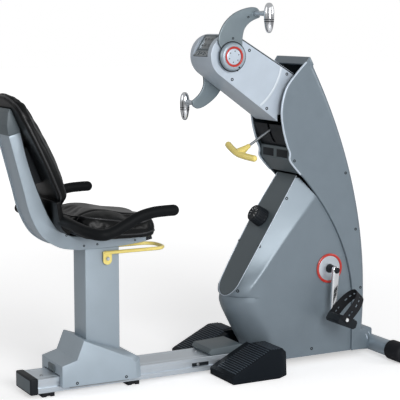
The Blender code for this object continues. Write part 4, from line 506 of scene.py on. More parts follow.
def bake(obj):
    """Replaces the object's mesh by what its modifiers make of it."""
    bpy.context.view_layer.update()
    graph = bpy.context.evaluated_depsgraph_get()
    made = bpy.data.meshes.new_from_object(obj.evaluated_get(graph))
    old, obj.data = obj.data, made
    obj.modifiers.clear()
    bpy.data.meshes.remove(old)
    made.name = obj.name


def taken(obj):
    """An object's points and faces. The object itself is removed."""
    points = np.array([v.co for v in obj.data.vertices])
    faces = [tuple(p.vertices) for p in obj.data.polygons]
    bpy.data.objects.remove(obj)
    return points, faces


def piece(name, body, finish, shape, node="", angle=38, edge=0.0, segments=3, wall=0.0,
          inside=None, holes=(), limit=32, second=None, inner=None):
    """One finished piece. Wall thickens an open surface towards the point inside, holes are cut
    out, and edge rounds the corners that turn by more than limit degrees. Second is a finish
    with a test on each face's centre and normal; inner is the finish of a wall's inside."""
    obj = mesh_object(name, *shape)
    faces = obj.data.polygons
    if wall and sum(f.area * (f.center - Vector(inside)).dot(f.normal) for f in faces) < 0:
        obj.data.flip_normals()
    obj.data.materials.append(material(finish))
    if inner or second:
        obj.data.materials.append(material(inner or second[0]))
    if wall:
        modify(obj, "SOLIDIFY", thickness=wall, offset=-1, use_even_offset=True,
               material_offset=1 if inner else 0)
    cutters = [mesh_object(name + "_cut", *hole) for hole in holes]
    for cutter in cutters:
        cutter.hide_render = True
        modify(obj, "BOOLEAN", object=cutter, solver="EXACT")
    if edge:
        bevel(obj, edge, segments, limit)
    if wall or holes or edge:
        bake(obj)
    for cutter in cutters:
        data = cutter.data
        bpy.data.objects.remove(cutter)
        bpy.data.meshes.remove(data)
    if second:
        for face in obj.data.polygons:
            if second[1](face.center, face.normal):
                face.material_index = 1
    obj.data.shade_smooth()
    obj.data.set_sharp_from_angle(angle=radians(angle))
    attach(obj, body)
    if node:
        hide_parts(node)
    return obj


def turned_pieces(name, side, body, rows):
    """A turned piece about a line along Y for each row: its name, slot, finish, node, centre,
    steps and profile."""
    for label, slot, finish, node, centre, steps, profile in rows:
        piece(label + "_" + name, body, finish, along_y(profile, centre, side, steps),
              node and node + "_" + name)


# Shader groups and materials


def feed(tree, target, inputs):
    """Gives a node's inputs their values, or links them to the outputs that drive them."""
    for key, value in inputs.items():
        if isinstance(value, bpy.types.NodeSocket):
            tree.links.new(value, target.inputs[key])
        else:
            target.inputs[key].default_value = value


def add(tree, kind, inputs=(), **settings):
    """The outputs of a new node with its settings and its inputs' values or links."""
    made = tree.nodes.new("ShaderNode" + kind)
    for key, value in settings.items():
        setattr(made, key, value)
    feed(tree, made, dict(inputs))
    return made.outputs


def surface_group(name, hide):
    """A group that varies a colour and a roughness: a cloudy noise one fiftieth as fine as the
    grain, and the grain itself, or for a hide the edges of rounded cells."""
    found = bpy.data.node_groups.get(name)
    if found:
        return found
    tree = bpy.data.node_groups.new(name, "ShaderNodeTree")
    for label, kind, value in (
        ("Colour", "Color", (0.5, 0.5, 0.5, 1)), ("Size", "Float", 500.0),
        ("Stretch", "Vector", (1, 1, 1)), ("Roughness", "Float", 0.4), ("Spread", "Float", 0.08),
    ):
        made = tree.interface.new_socket(label, in_out="INPUT", socket_type="NodeSocket" + kind)
        made.default_value = value
    for label, kind in (("Colour", "Color"), ("Roughness", "Float"), ("Height", "Float")):
        tree.interface.new_socket(label, in_out="OUTPUT", socket_type="NodeSocket" + kind)
    given, result = tree.nodes.new("NodeGroupInput").outputs, tree.nodes.new("NodeGroupOutput")
    place = add(tree, "TexCoord")["Object"]
    place = add(tree, "VectorMath", {0: place, 1: given["Stretch"]}, operation="MULTIPLY")[0]
    coarse = add(tree, "Math", {0: given["Size"], 1: 0.02}, operation="MULTIPLY")[0]
    cloud = add(tree, "TexNoise", {"Vector": place, "Scale": coarse, "Detail": 3})["Fac"]
    cells = {"Vector": place, "Scale": given["Size"]}
    if hide:
        cells["Smoothness"] = 0.4
        fine = add(tree, "TexVoronoi", cells, feature="SMOOTH_F1")["Distance"]
    else:
        cells["Detail"] = 2
        fine = add(tree, "TexNoise", cells)["Fac"]
    shade = add(tree, "MapRange", {"Value": cloud, "To Min": 0.94, "To Max": 1.06})["Result"]
    tinted = add(tree, "VectorMath", {0: given["Colour"], "Scale": shade}, operation="SCALE")[0]
    offset = add(tree, "Math", {0: cloud, 1: 0.5}, operation="SUBTRACT")[0]
    rough = add(tree, "Math", {0: offset, 1: given["Spread"], 2: given["Roughness"]},
                operation="MULTIPLY_ADD")[0]
    feed(tree, result, {"Colour": tinted, "Roughness": rough, "Height": fine})
    return tree


def material(name):
    """The material of one finish, made the first time it is asked for."""
    found = bpy.data.materials.get("finish_" + name)
    if found:
        return found
    roughness, metallic, coat, size, bump = FINISHES[name]
    made = bpy.data.materials.new("finish_" + name)
    made.use_nodes = True
    tree = made.node_tree
    hide = name in HIDES
    given = {
        "Colour": (*getattr(bpy.context.scene.bike_colours, name), 1),
        "Size": size,
        "Stretch": BRUSHED.get(name, (1, 1, 1)),
        "Roughness": roughness,
    }
    surface = add(tree, "Group", given, node_tree=surface_group("Hide" if hide else "Grain", hide))
    inputs = {
        "Base Color": surface["Colour"],
        "Roughness": surface["Roughness"],
        "Metallic": metallic,
        "Coat Weight": coat,
        "Coat Roughness": 0.15,
    }
    if name in MATT:
        inputs["Specular IOR Level"] = MATT[name]
    if bump:
        relief = {"Strength": bump, "Distance": 0.0006, "Height": surface["Height"]}
        inputs["Normal"] = add(tree, "Bump", relief)["Normal"]
    feed(tree, tree.nodes["Principled BSDF"], inputs)
    return made


# The covers' surfaces


def tower_front(height):
    """The tower's front edge: a parabola in the side view."""
    return 0.171 - 0.306 * (height - 0.26) ** 2


def seam(height):
    """The seam between the drive covers and the tower: a parabola above its foot."""
    return 0.108 - 0.88 * max(height - 0.22, 0) ** 2


def edge_at(points):
    """A function of the height that follows a smooth curve through side-view points."""
    path = smooth_path(points, 12 * len(points))
    path = path[np.argsort(path[:, 1])]
    return lambda height: float(np.interp(height, path[:, 1], path[:, 0]))


TOWER_REAR = edge_at(TOWER_REAR_EDGE)
CHIN_REAR = edge_at(CHIN_EDGE)


def tower_rear(height):
    """The tower covers' rear edge."""
    return seam(height) if height <= SEAM_TOP else TOWER_REAR(height)


def tower_nose(height):
    """The radius of the tower's rounded front, smaller where the tower is narrow."""
    return min(0.030, 0.45 * (tower_front(height) - tower_rear(height)))


def panel_point(along, out=0.0):
    """A side-view pair at a length down the front panel and a depth out of it."""
    return (
        PANEL_TOP[0] - along * cos(PANEL_ANGLE) - out * sin(PANEL_ANGLE),
        PANEL_TOP[1] - along * sin(PANEL_ANGLE) + out * cos(PANEL_ANGLE),
    )


PANEL_TIP = panel_point(PANEL_LENGTH)[1]


def panel_half(along, inset=0.0):
    """Half the panel's width: a sine that swells in the middle, and a round lower end."""
    if along < PANEL_STRAIGHT:
        return PANEL_HALF - inset + 0.009 * sin(pi * max(along, 0) / PANEL_STRAIGHT)
    return sqrt(max((PANEL_HALF - inset) ** 2 - (along - PANEL_STRAIGHT) ** 2, 0))


def panel_ahead(along):
    """How far ahead the bowed panel lies at a length down from its top."""
    bow = PANEL_BOW * sin(pi * min(max(along / PANEL_LENGTH, 0), 1))
    return panel_point(along)[0] - bow / sin(PANEL_ANGLE)


def on_panel(along, y):
    """The bowed panel's point at a length down from its top and at Y."""
    return (CRANK_X + panel_ahead(along), y, PANEL_TOP[1] - along * sin(PANEL_ANGLE))


def knob_seat():
    """Where the knob's axis goes through the panel, and the axis's direction."""
    along = 0.207
    out = PANEL_BOW * sin(pi * along / PANEL_LENGTH)
    slope = PANEL_BOW * pi / PANEL_LENGTH * cos(pi * along / PANEL_LENGTH)
    down = Vector((-cos(PANEL_ANGLE), 0, -sin(PANEL_ANGLE)))
    normal = Vector((-sin(PANEL_ANGLE), 0, cos(PANEL_ANGLE))) - down * slope
    return at([panel_point(along, out)], 0)[0], normal.normalized()


def cover_start(height):
    """A drive cover's rear edge at a height, and half the cover's width there."""
    narrowest = 0.0003
    along = (PANEL_TOP[1] - height) / sin(PANEL_ANGLE)
    if along <= PANEL_LENGTH:
        return panel_ahead(along), max(panel_half(along), narrowest)
    return CHIN_REAR(height), narrowest


def cover_half(height, reach, half_width):
    """Half a drive cover's width at a distance ahead of its rear edge. Beside the panel it is a
    flat facet, whose run grows from 45 mm at the panel's foot to 137 mm at its top, and under
    the panel a quarter ellipse of 115 mm, with a blend between them 90 mm high."""
    half = cover_start(height)[1]
    edge = max(half, PANEL_HALF)
    run = 0.045 + 0.092 * min(max((height - PANEL_TIP - 0.04) / 0.39, 0), 1)
    facet = edge + (half_width - edge) * np.minimum(reach / run, 1)
    chin = half + (half_width - half) * np.sqrt(1 - (1 - np.minimum(reach / 0.115, 1)) ** 2)
    blend = min(max((height - PANEL_TIP) / 0.09, 0), 1)
    return np.clip(facet * blend + chin * (1 - blend), half, half_width)


def tower_surface(side, half):
    """One tower cover, row by row: a rim turned in at the rear, a flat side, a round nose that
    reaches the middle plane."""
    lower, upper = np.linspace(COVER_FOOT, SEAM_TOP, 80), np.linspace(SEAM_TOP, TOWER_TIP, 80)
    lip_turn, nose_turn = np.linspace(0, pi / 2, 5)[1:], np.linspace(0, pi / 2, 13)[1:]
    rows = []
    for height in [*lower, *upper[1:]]:
        rear, front = tower_rear(height), tower_front(height)
        nose, lip = tower_nose(height), min(0.004, 0.2 * (front - rear))
        flat = front - nose
        row = [(rear, half - 0.010), (rear, half - lip)]
        row += [(rear + lip * (1 - cos(a)), half - lip * (1 - sin(a))) for a in lip_turn]
        row += [(rear + lip + (flat - rear - lip) * s, half) for s in np.linspace(0, 1, 17)[1:]]
        row += [(flat + nose * sin(a), half - nose * (1 - cos(a))) for a in nose_turn]
        row += [(front, (half - nose) * s + 0.00015) for s in (0.66, 0.33, 0)]
        rows.append([(CRANK_X + x, side * y, height) for x, y in row])
    return sheet(rows)


def lower_surface(side, half_width):
    """One drive cover, row by row: a facet beside the front panel that blends into a rounded
    chin under it."""
    bend = PANEL_HALF * sin(PANEL_ANGLE)
    under = np.linspace(COVER_FOOT, PANEL_TIP, 36)[:-1]
    rounded = PANEL_TIP + bend * (1 - np.cos(np.linspace(0, pi / 2, 26)))
    upper = np.linspace(PANEL_TIP + bend, SEAM_TOP - 0.003, 56)[1:]
    shares = np.linspace(0, 1, 56) ** 1.5
    rows = []
    for height in [*under, *rounded, *upper]:
        rear = cover_start(height)[0]
        reach = (seam(height) - 0.0006 - rear) * shares
        y = cover_half(height, reach, half_width)
        rows.append(np.stack([CRANK_X + rear + reach, side * y, np.full_like(y, height)], -1))
    return sheet(rows)


class Build:
    """What the operators share: each one builds its pieces from the scene's sizes."""

    def execute(self, context):
        """Runs the operator's own build."""
        self.build(context.scene.bike_sizes)
        return {"FINISHED"}


class BIKE_OT_tower(Build, bpy.types.Operator):
    """Builds the tower's two covers, their rounded rims, lighter as a painted highlight, and the crest
    between their tips
    """

    bl_idname = "bike.tower"
    bl_label = "Tower covers"

    def build(self, sizes):
        half = sizes.tower_half
        arch = prism(COLLAR_ARCH, -0.2, 0.2)
        for name, side in SIDES.items():
            piece("tower_cover_" + name, "base", "cover", tower_surface(side, half),
                  "tower_shell_" + name, wall=sizes.wall, inside=(CRANK_X + 0.05, 0, 0.5),
                  holes=[arch], inner="inside")
            # A rounded bead along each cover's rear edge, drawn in the lighter arm finish as a painted
            # highlight.
            heights = np.linspace(SEAM_TOP + 0.015, TOWER_TIP - 0.002, 90)
            path = [(CRANK_X + tower_rear(h) + 0.001, side * (half - 0.004), h) for h in heights]
            piece("tower_rim_highlight_" + name, "base", "arm", tube(path, sizes.bead, 16))
        levels = (half - 0.0008) * np.sin(np.linspace(-pi / 2, pi / 2, 41))
        nose, top = tower_nose(TOWER_TIP), 1.198
        outlines = []
        for y in levels:
            back = nose - sqrt(nose**2 - max(abs(y) - (half - nose), 0) ** 2)
            front = [(tower_front(z) - 0.0005 - back, z) for z in (1.167, TOWER_TIP, top)]
            rear, foot = min(-0.100, front[2][0] - 0.002), tower_rear(1.172)
            outlines.append([*front, (rear, top), (foot, 1.172), (foot + 0.006, 1.167)])
        piece("tower_crest", "base", "cover", loft(outlines, levels), edge=0.0012,
              limit=45)


class BIKE_OT_drive_covers(Build, bpy.types.Operator):
    """Builds the two drive covers, the edges beside the panel, lighter as a painted highlight, and the
    bowed panel
    """

    bl_idname = "bike.drive_covers"
    bl_label = "Drive covers"

    def build(self, sizes):
        straight = np.linspace(0.006, PANEL_STRAIGHT, 60)
        rounded = PANEL_LENGTH - PANEL_HALF * (1 - np.sin(np.linspace(0, pi / 2, 26)[1:]))
        for name, side in SIDES.items():
            piece("drive_cover_" + name, "base", "cover",
                  lower_surface(side, sizes.lower_half), "lower_shell_" + name, wall=sizes.wall,
                  inside=(CRANK_X, 0, 0.37), holes=[rod(CRANK, 0.038, 0.06, 0.16, side, 64)],
                  inner="inside", angle=44)
            # A thin round edge beside the front panel on each side, drawn in the lighter arm finish as a
            # painted highlight.
            path = [on_panel(s, side * max(panel_half(s), 0.0004)) for s in [*straight, *rounded]]
            piece("panel_edge_highlight_" + name, "base", "arm", tube(path, sizes.edge_bead, 12))
        inset = sizes.wall + 0.0006
        lengths = list(np.linspace(0.004, PANEL_STRAIGHT, 60))
        lengths += [PANEL_STRAIGHT + (PANEL_HALF - inset) * sin(a) for a in np.linspace(0, 1.50, 18)[1:]]
        shares = np.linspace(-1, 1, 25)
        rows = [[on_panel(s, panel_half(s, inset) * share) for share in shares] for s in lengths]
        stem = turn_round(mm(0, 20, 7, 20, 7, -30, 0, -30), *knob_seat(), 32)
        piece("panel", "base", "dark", sheet(rows), "front_panel", wall=0.004,
              inside=(CRANK_X, 0, 0.37), holes=[stem])


class BIKE_OT_neck(Build, bpy.types.Operator):
    """Builds the grey neck box above the panel and the curved slot cover under the arm"""

    bl_idname = "bike.neck"
    bl_label = "Neck and slot cover"

    def build(self, sizes):
        half = sizes.tower_half - 0.0103
        outline = mm(-186, 853, -186, 805, -142, 753, -128, 747.5, -60, 747.5, -60, 753, -135, 759,
                     -180, 808, -180, 847, -110, 847, -110, 853)
        piece("neck_box", "base", "dark", prism(fillet(outline, 0.003), -half, half),
              "neck_cover", edge=0.0008, limit=60)
        # Two thin black plates on the box's rear face stand for its recessed windows: painted shade in
        # the recesses.
        window = mm(-186.8, 842, -186.8, 812, -185.6, 812, -185.6, 842)
        for name, low, high in (("a", -0.090, -0.012), ("b", 0.012, 0.090)):
            piece("neck_window_shade_" + name, "base", "black", prism(window, low, high),
                  edge=0.0004)
        # The slot that the clamp's rod runs in: its half width, and the arm's tilt with some room
        gap, tilt = 0.0085, radians(12) + 0.055
        angles = np.radians(np.linspace(192, 220.5, 58))
        across = np.concatenate([np.linspace(-half, -gap, 18), np.linspace(-0.0084, 0.0084, 3),
                                 np.linspace(gap, half, 18)])
        rows = [at([around(PIVOT, SLOT_RADIUS, a)] * len(across), across) for a in angles]
        crossing = atan2(LOCK_CROSSING[1] - PIVOT[1], LOCK_CROSSING[0] - PIVOT[0]) % (2 * pi)
        middle = np.abs((across[1:] + across[:-1]) / 2) < gap + 0.0001
        slot = (angles[:-1] < crossing + tilt)[:, None] & middle[None]
        piece("slot_guard", "base", "black", sheet(rows, ~slot), "slot_cover",
              wall=0.0035, inside=at([PIVOT], 0)[0])


class BIKE_OT_stabiliser(Build, bpy.types.Operator):
    """Builds the stabiliser's tube, end caps and stepped saddle"""

    bl_idname = "bike.stabiliser"
    bl_label = "Stabiliser"

    def build(self, sizes):
        centre = (0.235, 0.039)
        bar = mm(0, 288, 30, 288, 32, 286, 32, -286, 30, -288, 0, -288)
        piece("stabiliser_bar", "base", "paint", along_y(bar, centre, 1, 72),
              "stabiliser_tube")
        cap = mm(0, 90, 26, 90, 33, 88.5, 37.2, 84.5, 39, 78, 39, 14, 38.2, 13, 38.2, 10, 39, 9, 39, 3,
                 37.5, 0.6, 35.5, 0, 32.3, 0, 32.3, 78, 0, 78)
        for name, side in SIDES.items():
            piece("stabiliser_end_" + name, "base", "rubber",
                  along_y(cap, centre, side, 72, side * 0.210), "stabiliser_cap_" + name)
        gap = 0.0006
        arch = [(x + gap, z - gap) for x, z in COLLAR_ARCH[1:5]]
        steps = (
            ("a", [(arch[0][0], 0.028), *arch, *mm(172, 109.6, 178, 103, 178, 26)], 0.114,
             "stabiliser_collar"),
            ("b", mm(140, 22, 140, 90, 158, 108.5, 168, 108.5, 174, 112, 198, 106.5, 206, 99, 206, 22),
             0.092, ""),
            ("c", mm(150, 15, 150, 90, 166, 108.5, 168, 117, 234, 99, 240, 93, 240, 60, 226, 10),
             0.066, ""),
        )
        bore = rod(centre, 0.0323, -0.3, 0.3, 1, 48)
        for name, outline, half, node in steps:
            piece("saddle_" + name, "base", "cover",
                  prism(fillet(outline, 0.006), -half, half), node, edge=0.0022, holes=[bore],
                  limit=60)
        ribs = []
        for side in SIDES.values():
            for ahead, half in ((0.160, 0.092), (0.192, 0.066)):
                rib = arc((ahead, 0.056), 0.042, radians(5), radians(95), 14)
                rib += arc((ahead, 0.056), 0.0385, radians(95), radians(5), 14)
                ribs.append(slab(rib, side, half - 0.002, half + 0.0012))
        piece("saddle_ribs", "base", "arm", merge(ribs), edge=0.0003)


class BIKE_OT_rail(Build, bpy.types.Operator):
    """Builds the grooved aluminium rail, its end cap and its two cross feet"""

    bl_idname = "bike.rail"
    bl_label = "Rail"

    def build(self, sizes):
        section = mm(72, 16, 73, 17, 73, 21.5, 71.8, 22.5, 71.8, 24.5, 73, 25.5, 73, 34, 63, 34, 63, 52,
                     73, 52, 73, 60, 72, 60.6, 72, 62.5, 73, 63.1, 73, 68, 71, 70, 52, 70, 51.5, 69.2,
                     48.5, 69.2, 48, 70)
        section += [(-y, z) for y, z in section[::-1]]
        rear, front = CRANK_X - 1.208, CRANK_X - 0.328
        hollow = mm(30.6, 22, 30.6, 64, -30.6, 64, -30.6, 22)
        piece("rail_section", "base", "aluminium", along_x(section, rear, front), "rail",
              holes=[along_x(hollow, rear - 0.01, front + 0.01)], angle=30)
        piece("rail_cap", "base", "black",
              block(-1.2383, -1.2083, 0.013, 0.073, 0.076), "rail_end_cap", edge=0.005, segments=4)
        piece("rail_cap_face", "base", "dark",
              block(-1.2389, -1.2375, 0.020, 0.066, 0.069), edge=0.0006)
        foot = mm(-24, 0, -24, 15.7, 24, 15.7, 24, 0, 8, 0, 6, 3, -6, 3, -8, 0)
        for name, ahead in (("rear", -1.168), ("middle", -0.832)):
            outline = [(ahead + x, z) for x, z in foot]
            piece("rail_pad_" + name, "base", "rubber", prism(outline, -0.070, 0.070),
                  "rail_foot_" + name, edge=0.002)
        recess = fillet(mm(-585, 35.5, -585, 50.5, -515, 50.5, -515, 35.5), 0.003)
        for name, side in SIDES.items():
            piece("rail_recess_" + name, "base", "black",
                  slab(recess, side, 0.0620, 0.0660), edge=0.0008)


class BIKE_OT_ramps(Build, bpy.types.Operator):
    """Builds the two ribbed foot ramps and the smooth bridge over the rail"""

    bl_idname = "bike.ramps"
    bl_label = "Foot ramps"

    def build(self, sizes):
        rear, front, low, high, outer = -0.512, -0.262, 0.034, 0.112, 0.250
        outline = [(rear, 0.0), (rear, low - 0.006), (rear + 0.008, low), (rear + 0.165, high)]
        outline += [(front - 0.030, high), (front - 0.006, high - 0.020), (front, 0.0)]
        chin = [(x - 0.006, z) for x, z in CHIN_EDGE if z < 0.17]
        chin = [(chin[0][0] - 0.02, 0.20), *chin, (chin[-1][0], -0.01), (0, -0.01), (0, 0.20)]
        room = prism(chin, -0.109, 0.109)
        start, end = np.array(outline[2]), np.array(outline[3])
        run = float(np.linalg.norm(end - start))
        way = (end - start) / run
        level = np.array((1.0, 0.0)), np.array((0.0, 1.0))
        shape = (0.0026, 0.0014, 0.001, sizes.rib_rise)
        for name, side in SIDES.items():
            # A box at 60 degrees cuts off the front corner, 24 mm deep
            turn, deep = side * radians(60), 0.024
            corner = np.array([(0, -0.08), (0.16, -0.08), (0.16, 0.08), (0, 0.08)])
            corner = corner @ np.array([[cos(turn), sin(turn)], [-sin(turn), cos(turn)]])
            corner += (CRANK_X + front - deep * cos(turn), side * outer - deep * sin(turn))
            notch = capped([np.column_stack([corner, np.full(4, z)]) for z in (-0.01, 0.20)])
            piece("ramp_" + name, "base", "tread",
                  slab(fillet(outline, 0.006), side, 0.0733, outer), "foot_platform_" + name,
                  edge=0.003, holes=[notch, room], limit=50)
            ribs = []
            for step in np.arange(0.010, run - 0.002, sizes.rib_pitch):
                rib = ridge(start + way * step, way, np.array((-way[1], way[0])), *shape)
                ribs.append(slab(rib, side, 0.106, outer - 0.007))
            for x in np.arange(end[0] + 0.006, front - 0.046, sizes.rib_pitch):
                rib = ridge(np.array((x, high)), *level, *shape)
                ribs.append(slab(rib, side, 0.112 if x < -0.352 else 0.128, outer - 0.007))
            piece("ramp_ribs_" + name, "base", "rib", merge(ribs), edge=0.0005,
                  segments=2)
        bridge = mm(-508, 70.3, -516, 82.3, -506, 96.3, -372, 102.3, -372, 70.3)
        piece("bridge", "base", "dark", prism(fillet(bridge, 0.004), -0.0727, 0.0727),
              "platform_bridge", edge=0.003, limit=50)


def crank_end(side):
    """The side-view place of a pedal's pin."""
    return around(CRANK, CRANK_THROW, side * pi / 2 - radians(4))


class BIKE_OT_cranks(Build, bpy.types.Operator):
    """Builds the pedal cranks with their pins and bolt caps, and the ringed discs behind them"""

    bl_idname = "bike.cranks"
    bl_label = "Pedal cranks"

    def build(self, sizes):
        cap = mm(0, 170.5, 7, 170.5, 7.8, 169.8, 8.2, 168, 10.5, 167.5, 12.2, 166, 12.6, 162.5, 0, 162.5)
        disc = mm(9, 112.6, 14.5, 112.6, 15.5, 111.8, 47, 111.8, 48.5, 111.2, 48.5, 108.8, 9, 108.8)
        ring = mm(48.7, 111.6, 50, 113.4, 53, 114, 56.2, 113.6, 58.5, 111.8, 58.5, 108.8, 48.7, 108.8)
        boss = mm(9, 146, 12.5, 146, 14, 144.8, 15, 130, 17.5, 115, 17.5, 112.6, 9, 112.6)
        pin = mm(0, 251, 4.8, 251, 6, 249.8, 6, 160, 0, 160)
        for name, side in SIDES.items():
            end = crank_end(side)
            along = atan2(end[1] - CRANK[1], end[0] - CRANK[0])
            outline = arc(CRANK, 0.0165, along + pi / 2, along + 3 * pi / 2, 26)
            outline += arc(end, 0.0110, along - pi / 2, along + pi / 2, 22)
            piece("crank_lever_" + name, "pedal_crank", "chrome",
                  slab(outline, side, 0.147, 0.163), "crank_arm_" + name, edge=0.0066, segments=6,
                  limit=60)
            turned_pieces(name, side, "pedal_crank", (
                ("pedal_pin", "chrome", "chrome", "", end, 32, pin),
                ("crank_cap", "black_plastic", "black", "", CRANK, 48, cap),
                ("crank_plate", "aluminium", "disc", "crank_disc", CRANK, 96, disc),
                ("crank_ring", "aluminium", "red", "", CRANK, 96, ring),
                ("crank_boss", "black_plastic", "black", "", CRANK, 64, boss),
            ))


class BIKE_OT_pedals(Build, bpy.types.Operator):
    """Builds the two pedals with their treads and the slotted straps over them"""

    bl_idname = "bike.pedals"
    bl_label = "Pedals"

    def build(self, sizes):
        tilt = radians(22)
        way, up = np.array((cos(tilt), -sin(tilt))), np.array((sin(tilt), cos(tilt)))
        corners = mm(-44, -10, -38, 18, 38, 18, 44, 10, 44, -10, 34, -18, -34, -18)
        pin = mm(0, 259, 6.2, 259, 7.4, 258, 8.2, 255, 8.2, 252, 0, 252)
        for name, side in SIDES.items():
            body = "pedal_" + name
            end = np.array(crank_end(side))
            centre = end + way * 0.008 - up * 0.008
            outline = fillet([centre + way * a + up * b for a, b in corners], 0.006)
            piece("pedal_body_" + name, body, "black",
                  slab(outline, side, 0.1675, 0.2555), "pedal_" + name, edge=0.003,
                  holes=[rod(end, 0.0064, 0.15, 0.27, side)], limit=60)
            treads = []
            for offset in np.linspace(-0.030, 0.030, 7):
                bar = ridge(centre + way * offset + up * 0.017, way, up, 0.0028, 0.0018, 0, 0.0034)
                treads.append(slab(bar, side, 0.1745, 0.2485))
            piece("pedal_tread_" + name, body, "black", merge(treads), edge=0.0006)
            turned_pieces(name, side, body, [("pedal_cap", "black_plastic", "white", "", end, 32, pin)])
            self.strap(name, body, side, end)

    def strap(self, name, body, side, end):
        """The band: two straight sides and half an ellipse between them. Faces are left out of
        the grid along its middle line, which makes the slots, and it is given its thickness."""
        tilt = radians(45)
        lift, normal = np.array((cos(tilt), sin(tilt))), np.array((-sin(tilt), cos(tilt)))
        half, foot, rise = 0.0473, -0.011, 0.122
        sides = np.linspace(foot, rise * 0.35, 21)
        line = [(-half, h) for h in sides[:-1]]
        line += [(-half * cos(a), rise * (0.35 + 0.65 * sin(a))) for a in np.linspace(0, pi, 57)]
        line += [(half, h) for h in sides[-2::-1]]
        edge = np.array([0.0035, 0.0085, 0.014, 0.020, 0.022])
        widths = np.concatenate([-edge[::-1], edge])
        middle = side * 0.2115
        rows = [
            at([end + lift * height + normal * (0.006 + w) for w in widths], middle + across)
            for across, height in line
        ]
        count, slot = len(line), 3
        keep = np.ones((count - 1, len(widths) - 1), bool)
        for first in (*range(24, count - 25, 6), 4, 10, 16, count - 8, count - 14, count - 20):
            keep[first : first + slot, 4] = False
        piece("pedal_band_" + name, body, "rubber", sheet(rows, keep),
              "pedal_strap_" + name, wall=0.003, inside=at([end + lift * 0.03], middle)[0],
              holes=[rod(end, 0.0072, 0.15, 0.27, side, 24)])


ARM_OVER = radians(30.5)
ARM_UNDER = radians(35.5)


def arm_outline(count):
    """The arm covers' edge: two straight lines tangent to the drum's circle, at 30.5 and 35.5
    degrees below level, cut off at the tower's end."""
    drum = arc(HUB, DRUM_RADIUS, pi / 2 - ARM_OVER, 3 * pi / 2 - ARM_UNDER, count)
    run = (-0.105 - drum[0][0]) / cos(ARM_OVER)
    line = [around(drum[-1], s, -ARM_UNDER) for s in np.arange(0, 0.6, 0.0005)]
    end = next(p for p in line if hypot(p[0] - PIVOT[0], p[1] - PIVOT[1]) <= SLOT_RADIUS + 0.0045)
    return [around(drum[0], run, -ARM_OVER)] + drum + [end]


def console_pair(along, out=0.0):
    """A side-view pair on the console's face: a length down from its top, a depth out of it."""
    foot = around(HUB, 0.0710 + out, CONSOLE_ANGLE + pi / 2)
    return around(foot, 0.0475 - along, CONSOLE_ANGLE)


def console_plate(first, last, low, high, left, right=None):
    """A flat block on the console's face between two lengths, two depths and two values of Y,
    or as far to both sides."""
    corners = [console_pair(first, high), console_pair(last, high)]
    corners += [console_pair(last, low), console_pair(first, low)]
    return prism(corners, *((-left, left) if right is None else (left, right)))


def oval(centre, half_width, half_length, count=14):
    """Points of an oval across the console, as (length along the face, Y)."""
    run = half_length - half_width
    return [
        (centre[0] + half_width * sin(angle), centre[1] + middle + half_width * cos(angle))
        for middle, start in ((run, -pi / 2), (-run, pi / 2))
        for angle in np.linspace(start, start + pi, count)
    ]


def on_console(outline, out):
    """World points of (length along the console's face, Y) pairs at a depth out of it."""
    return np.array([at([console_pair(a, out)], y)[0] for a, y in outline])


def console_ring(y, half_width, half_length, thick, high):
    """A thin oval ring on the console's face, round a key or round them all."""
    wide = oval((KEY_ROW, y), half_width + thick, half_length + thick)
    narrow = oval((KEY_ROW, y), half_width, half_length)
    low = -0.0003
    rings = [on_console(o, d) for o, d in ((wide, low), (wide, high), (narrow, high), (narrow, low))]
    return np.concatenate(rings), quads(4, len(wide), True, True)


class BIKE_OT_arm(Build, bpy.types.Operator):
    """Builds the arm's two light covers, the raised band across their sides, lighter as a painted
    highlight, and the strips above them
    """

    bl_idname = "bike.arm"
    bl_label = "Arm covers"

    def build(self, sizes):
        outline = arm_outline(72)
        end = outline[-1]
        start = atan2(end[1] - PIVOT[1], end[0] - PIVOT[0]) % (2 * pi)
        radius = hypot(end[0] - PIVOT[0], end[1] - PIVOT[1])
        back = arc(PIVOT, radius, start, pi, 12)[1:] + arc(PIVOT, 0.110, radians(178), radians(100), 18)
        corners = outline + back
        window = console_plate(-0.0004, 0.0934, -0.0244, 0.03, 0.0554)
        reach = 0.2255
        spread = asin((DRUM_RADIUS - sizes.arm_edge) / reach)
        across = arc(HUB, reach, spread - ARM_OVER, -ARM_UNDER - spread, 60)
        ends = np.array(outline[:2])
        top = beside(ends[0] + (ends[1] - ends[0]) * np.linspace(0, 1, 40)[:, None], 0.0034)
        for name, side in SIDES.items():
            count = len(corners)
            faces = [tuple(range(count))]
            faces += [(k, k + 1, count + k + 1, count + k) for k in range(len(outline) - 1)]
            points = np.concatenate([at(corners, side * ARM_HALF), at(outline, side * 0.00015)])
            obj = mesh_object("arm_form_" + name, points, faces)
            cap = max(obj.data.polygons, key=lambda face: face.area)
            if cap.normal.y * side < 0:
                obj.data.flip_normals()
            bevel(obj, sizes.arm_edge, 5, 50)
            bake(obj)
            piece("arm_cover_" + name, "arm", "arm", taken(obj), "arm_shell_" + name,
                  wall=0.003, inside=(CRANK_X - 0.25, 0, 1.09),
                  holes=[window, rod(HUB, 0.013, 0.05, 0.12, side)], inner="inside")
            normals = np.tile((0, side, 0), (len(across), 1))
            # A strip that stands a little off each side, lighter than the arm: painted highlight on the
            # step round the hub.
            piece("arm_band_highlight_" + name, "arm", "band",
                  strip(at(across, side * ARM_HALF), normals, 0.0085, sizes.band_rise))
            piece("arm_strip_" + name, "arm", "black",
                  tube(at(top, side * (ARM_HALF - 0.0022)), 0.0030, 12))


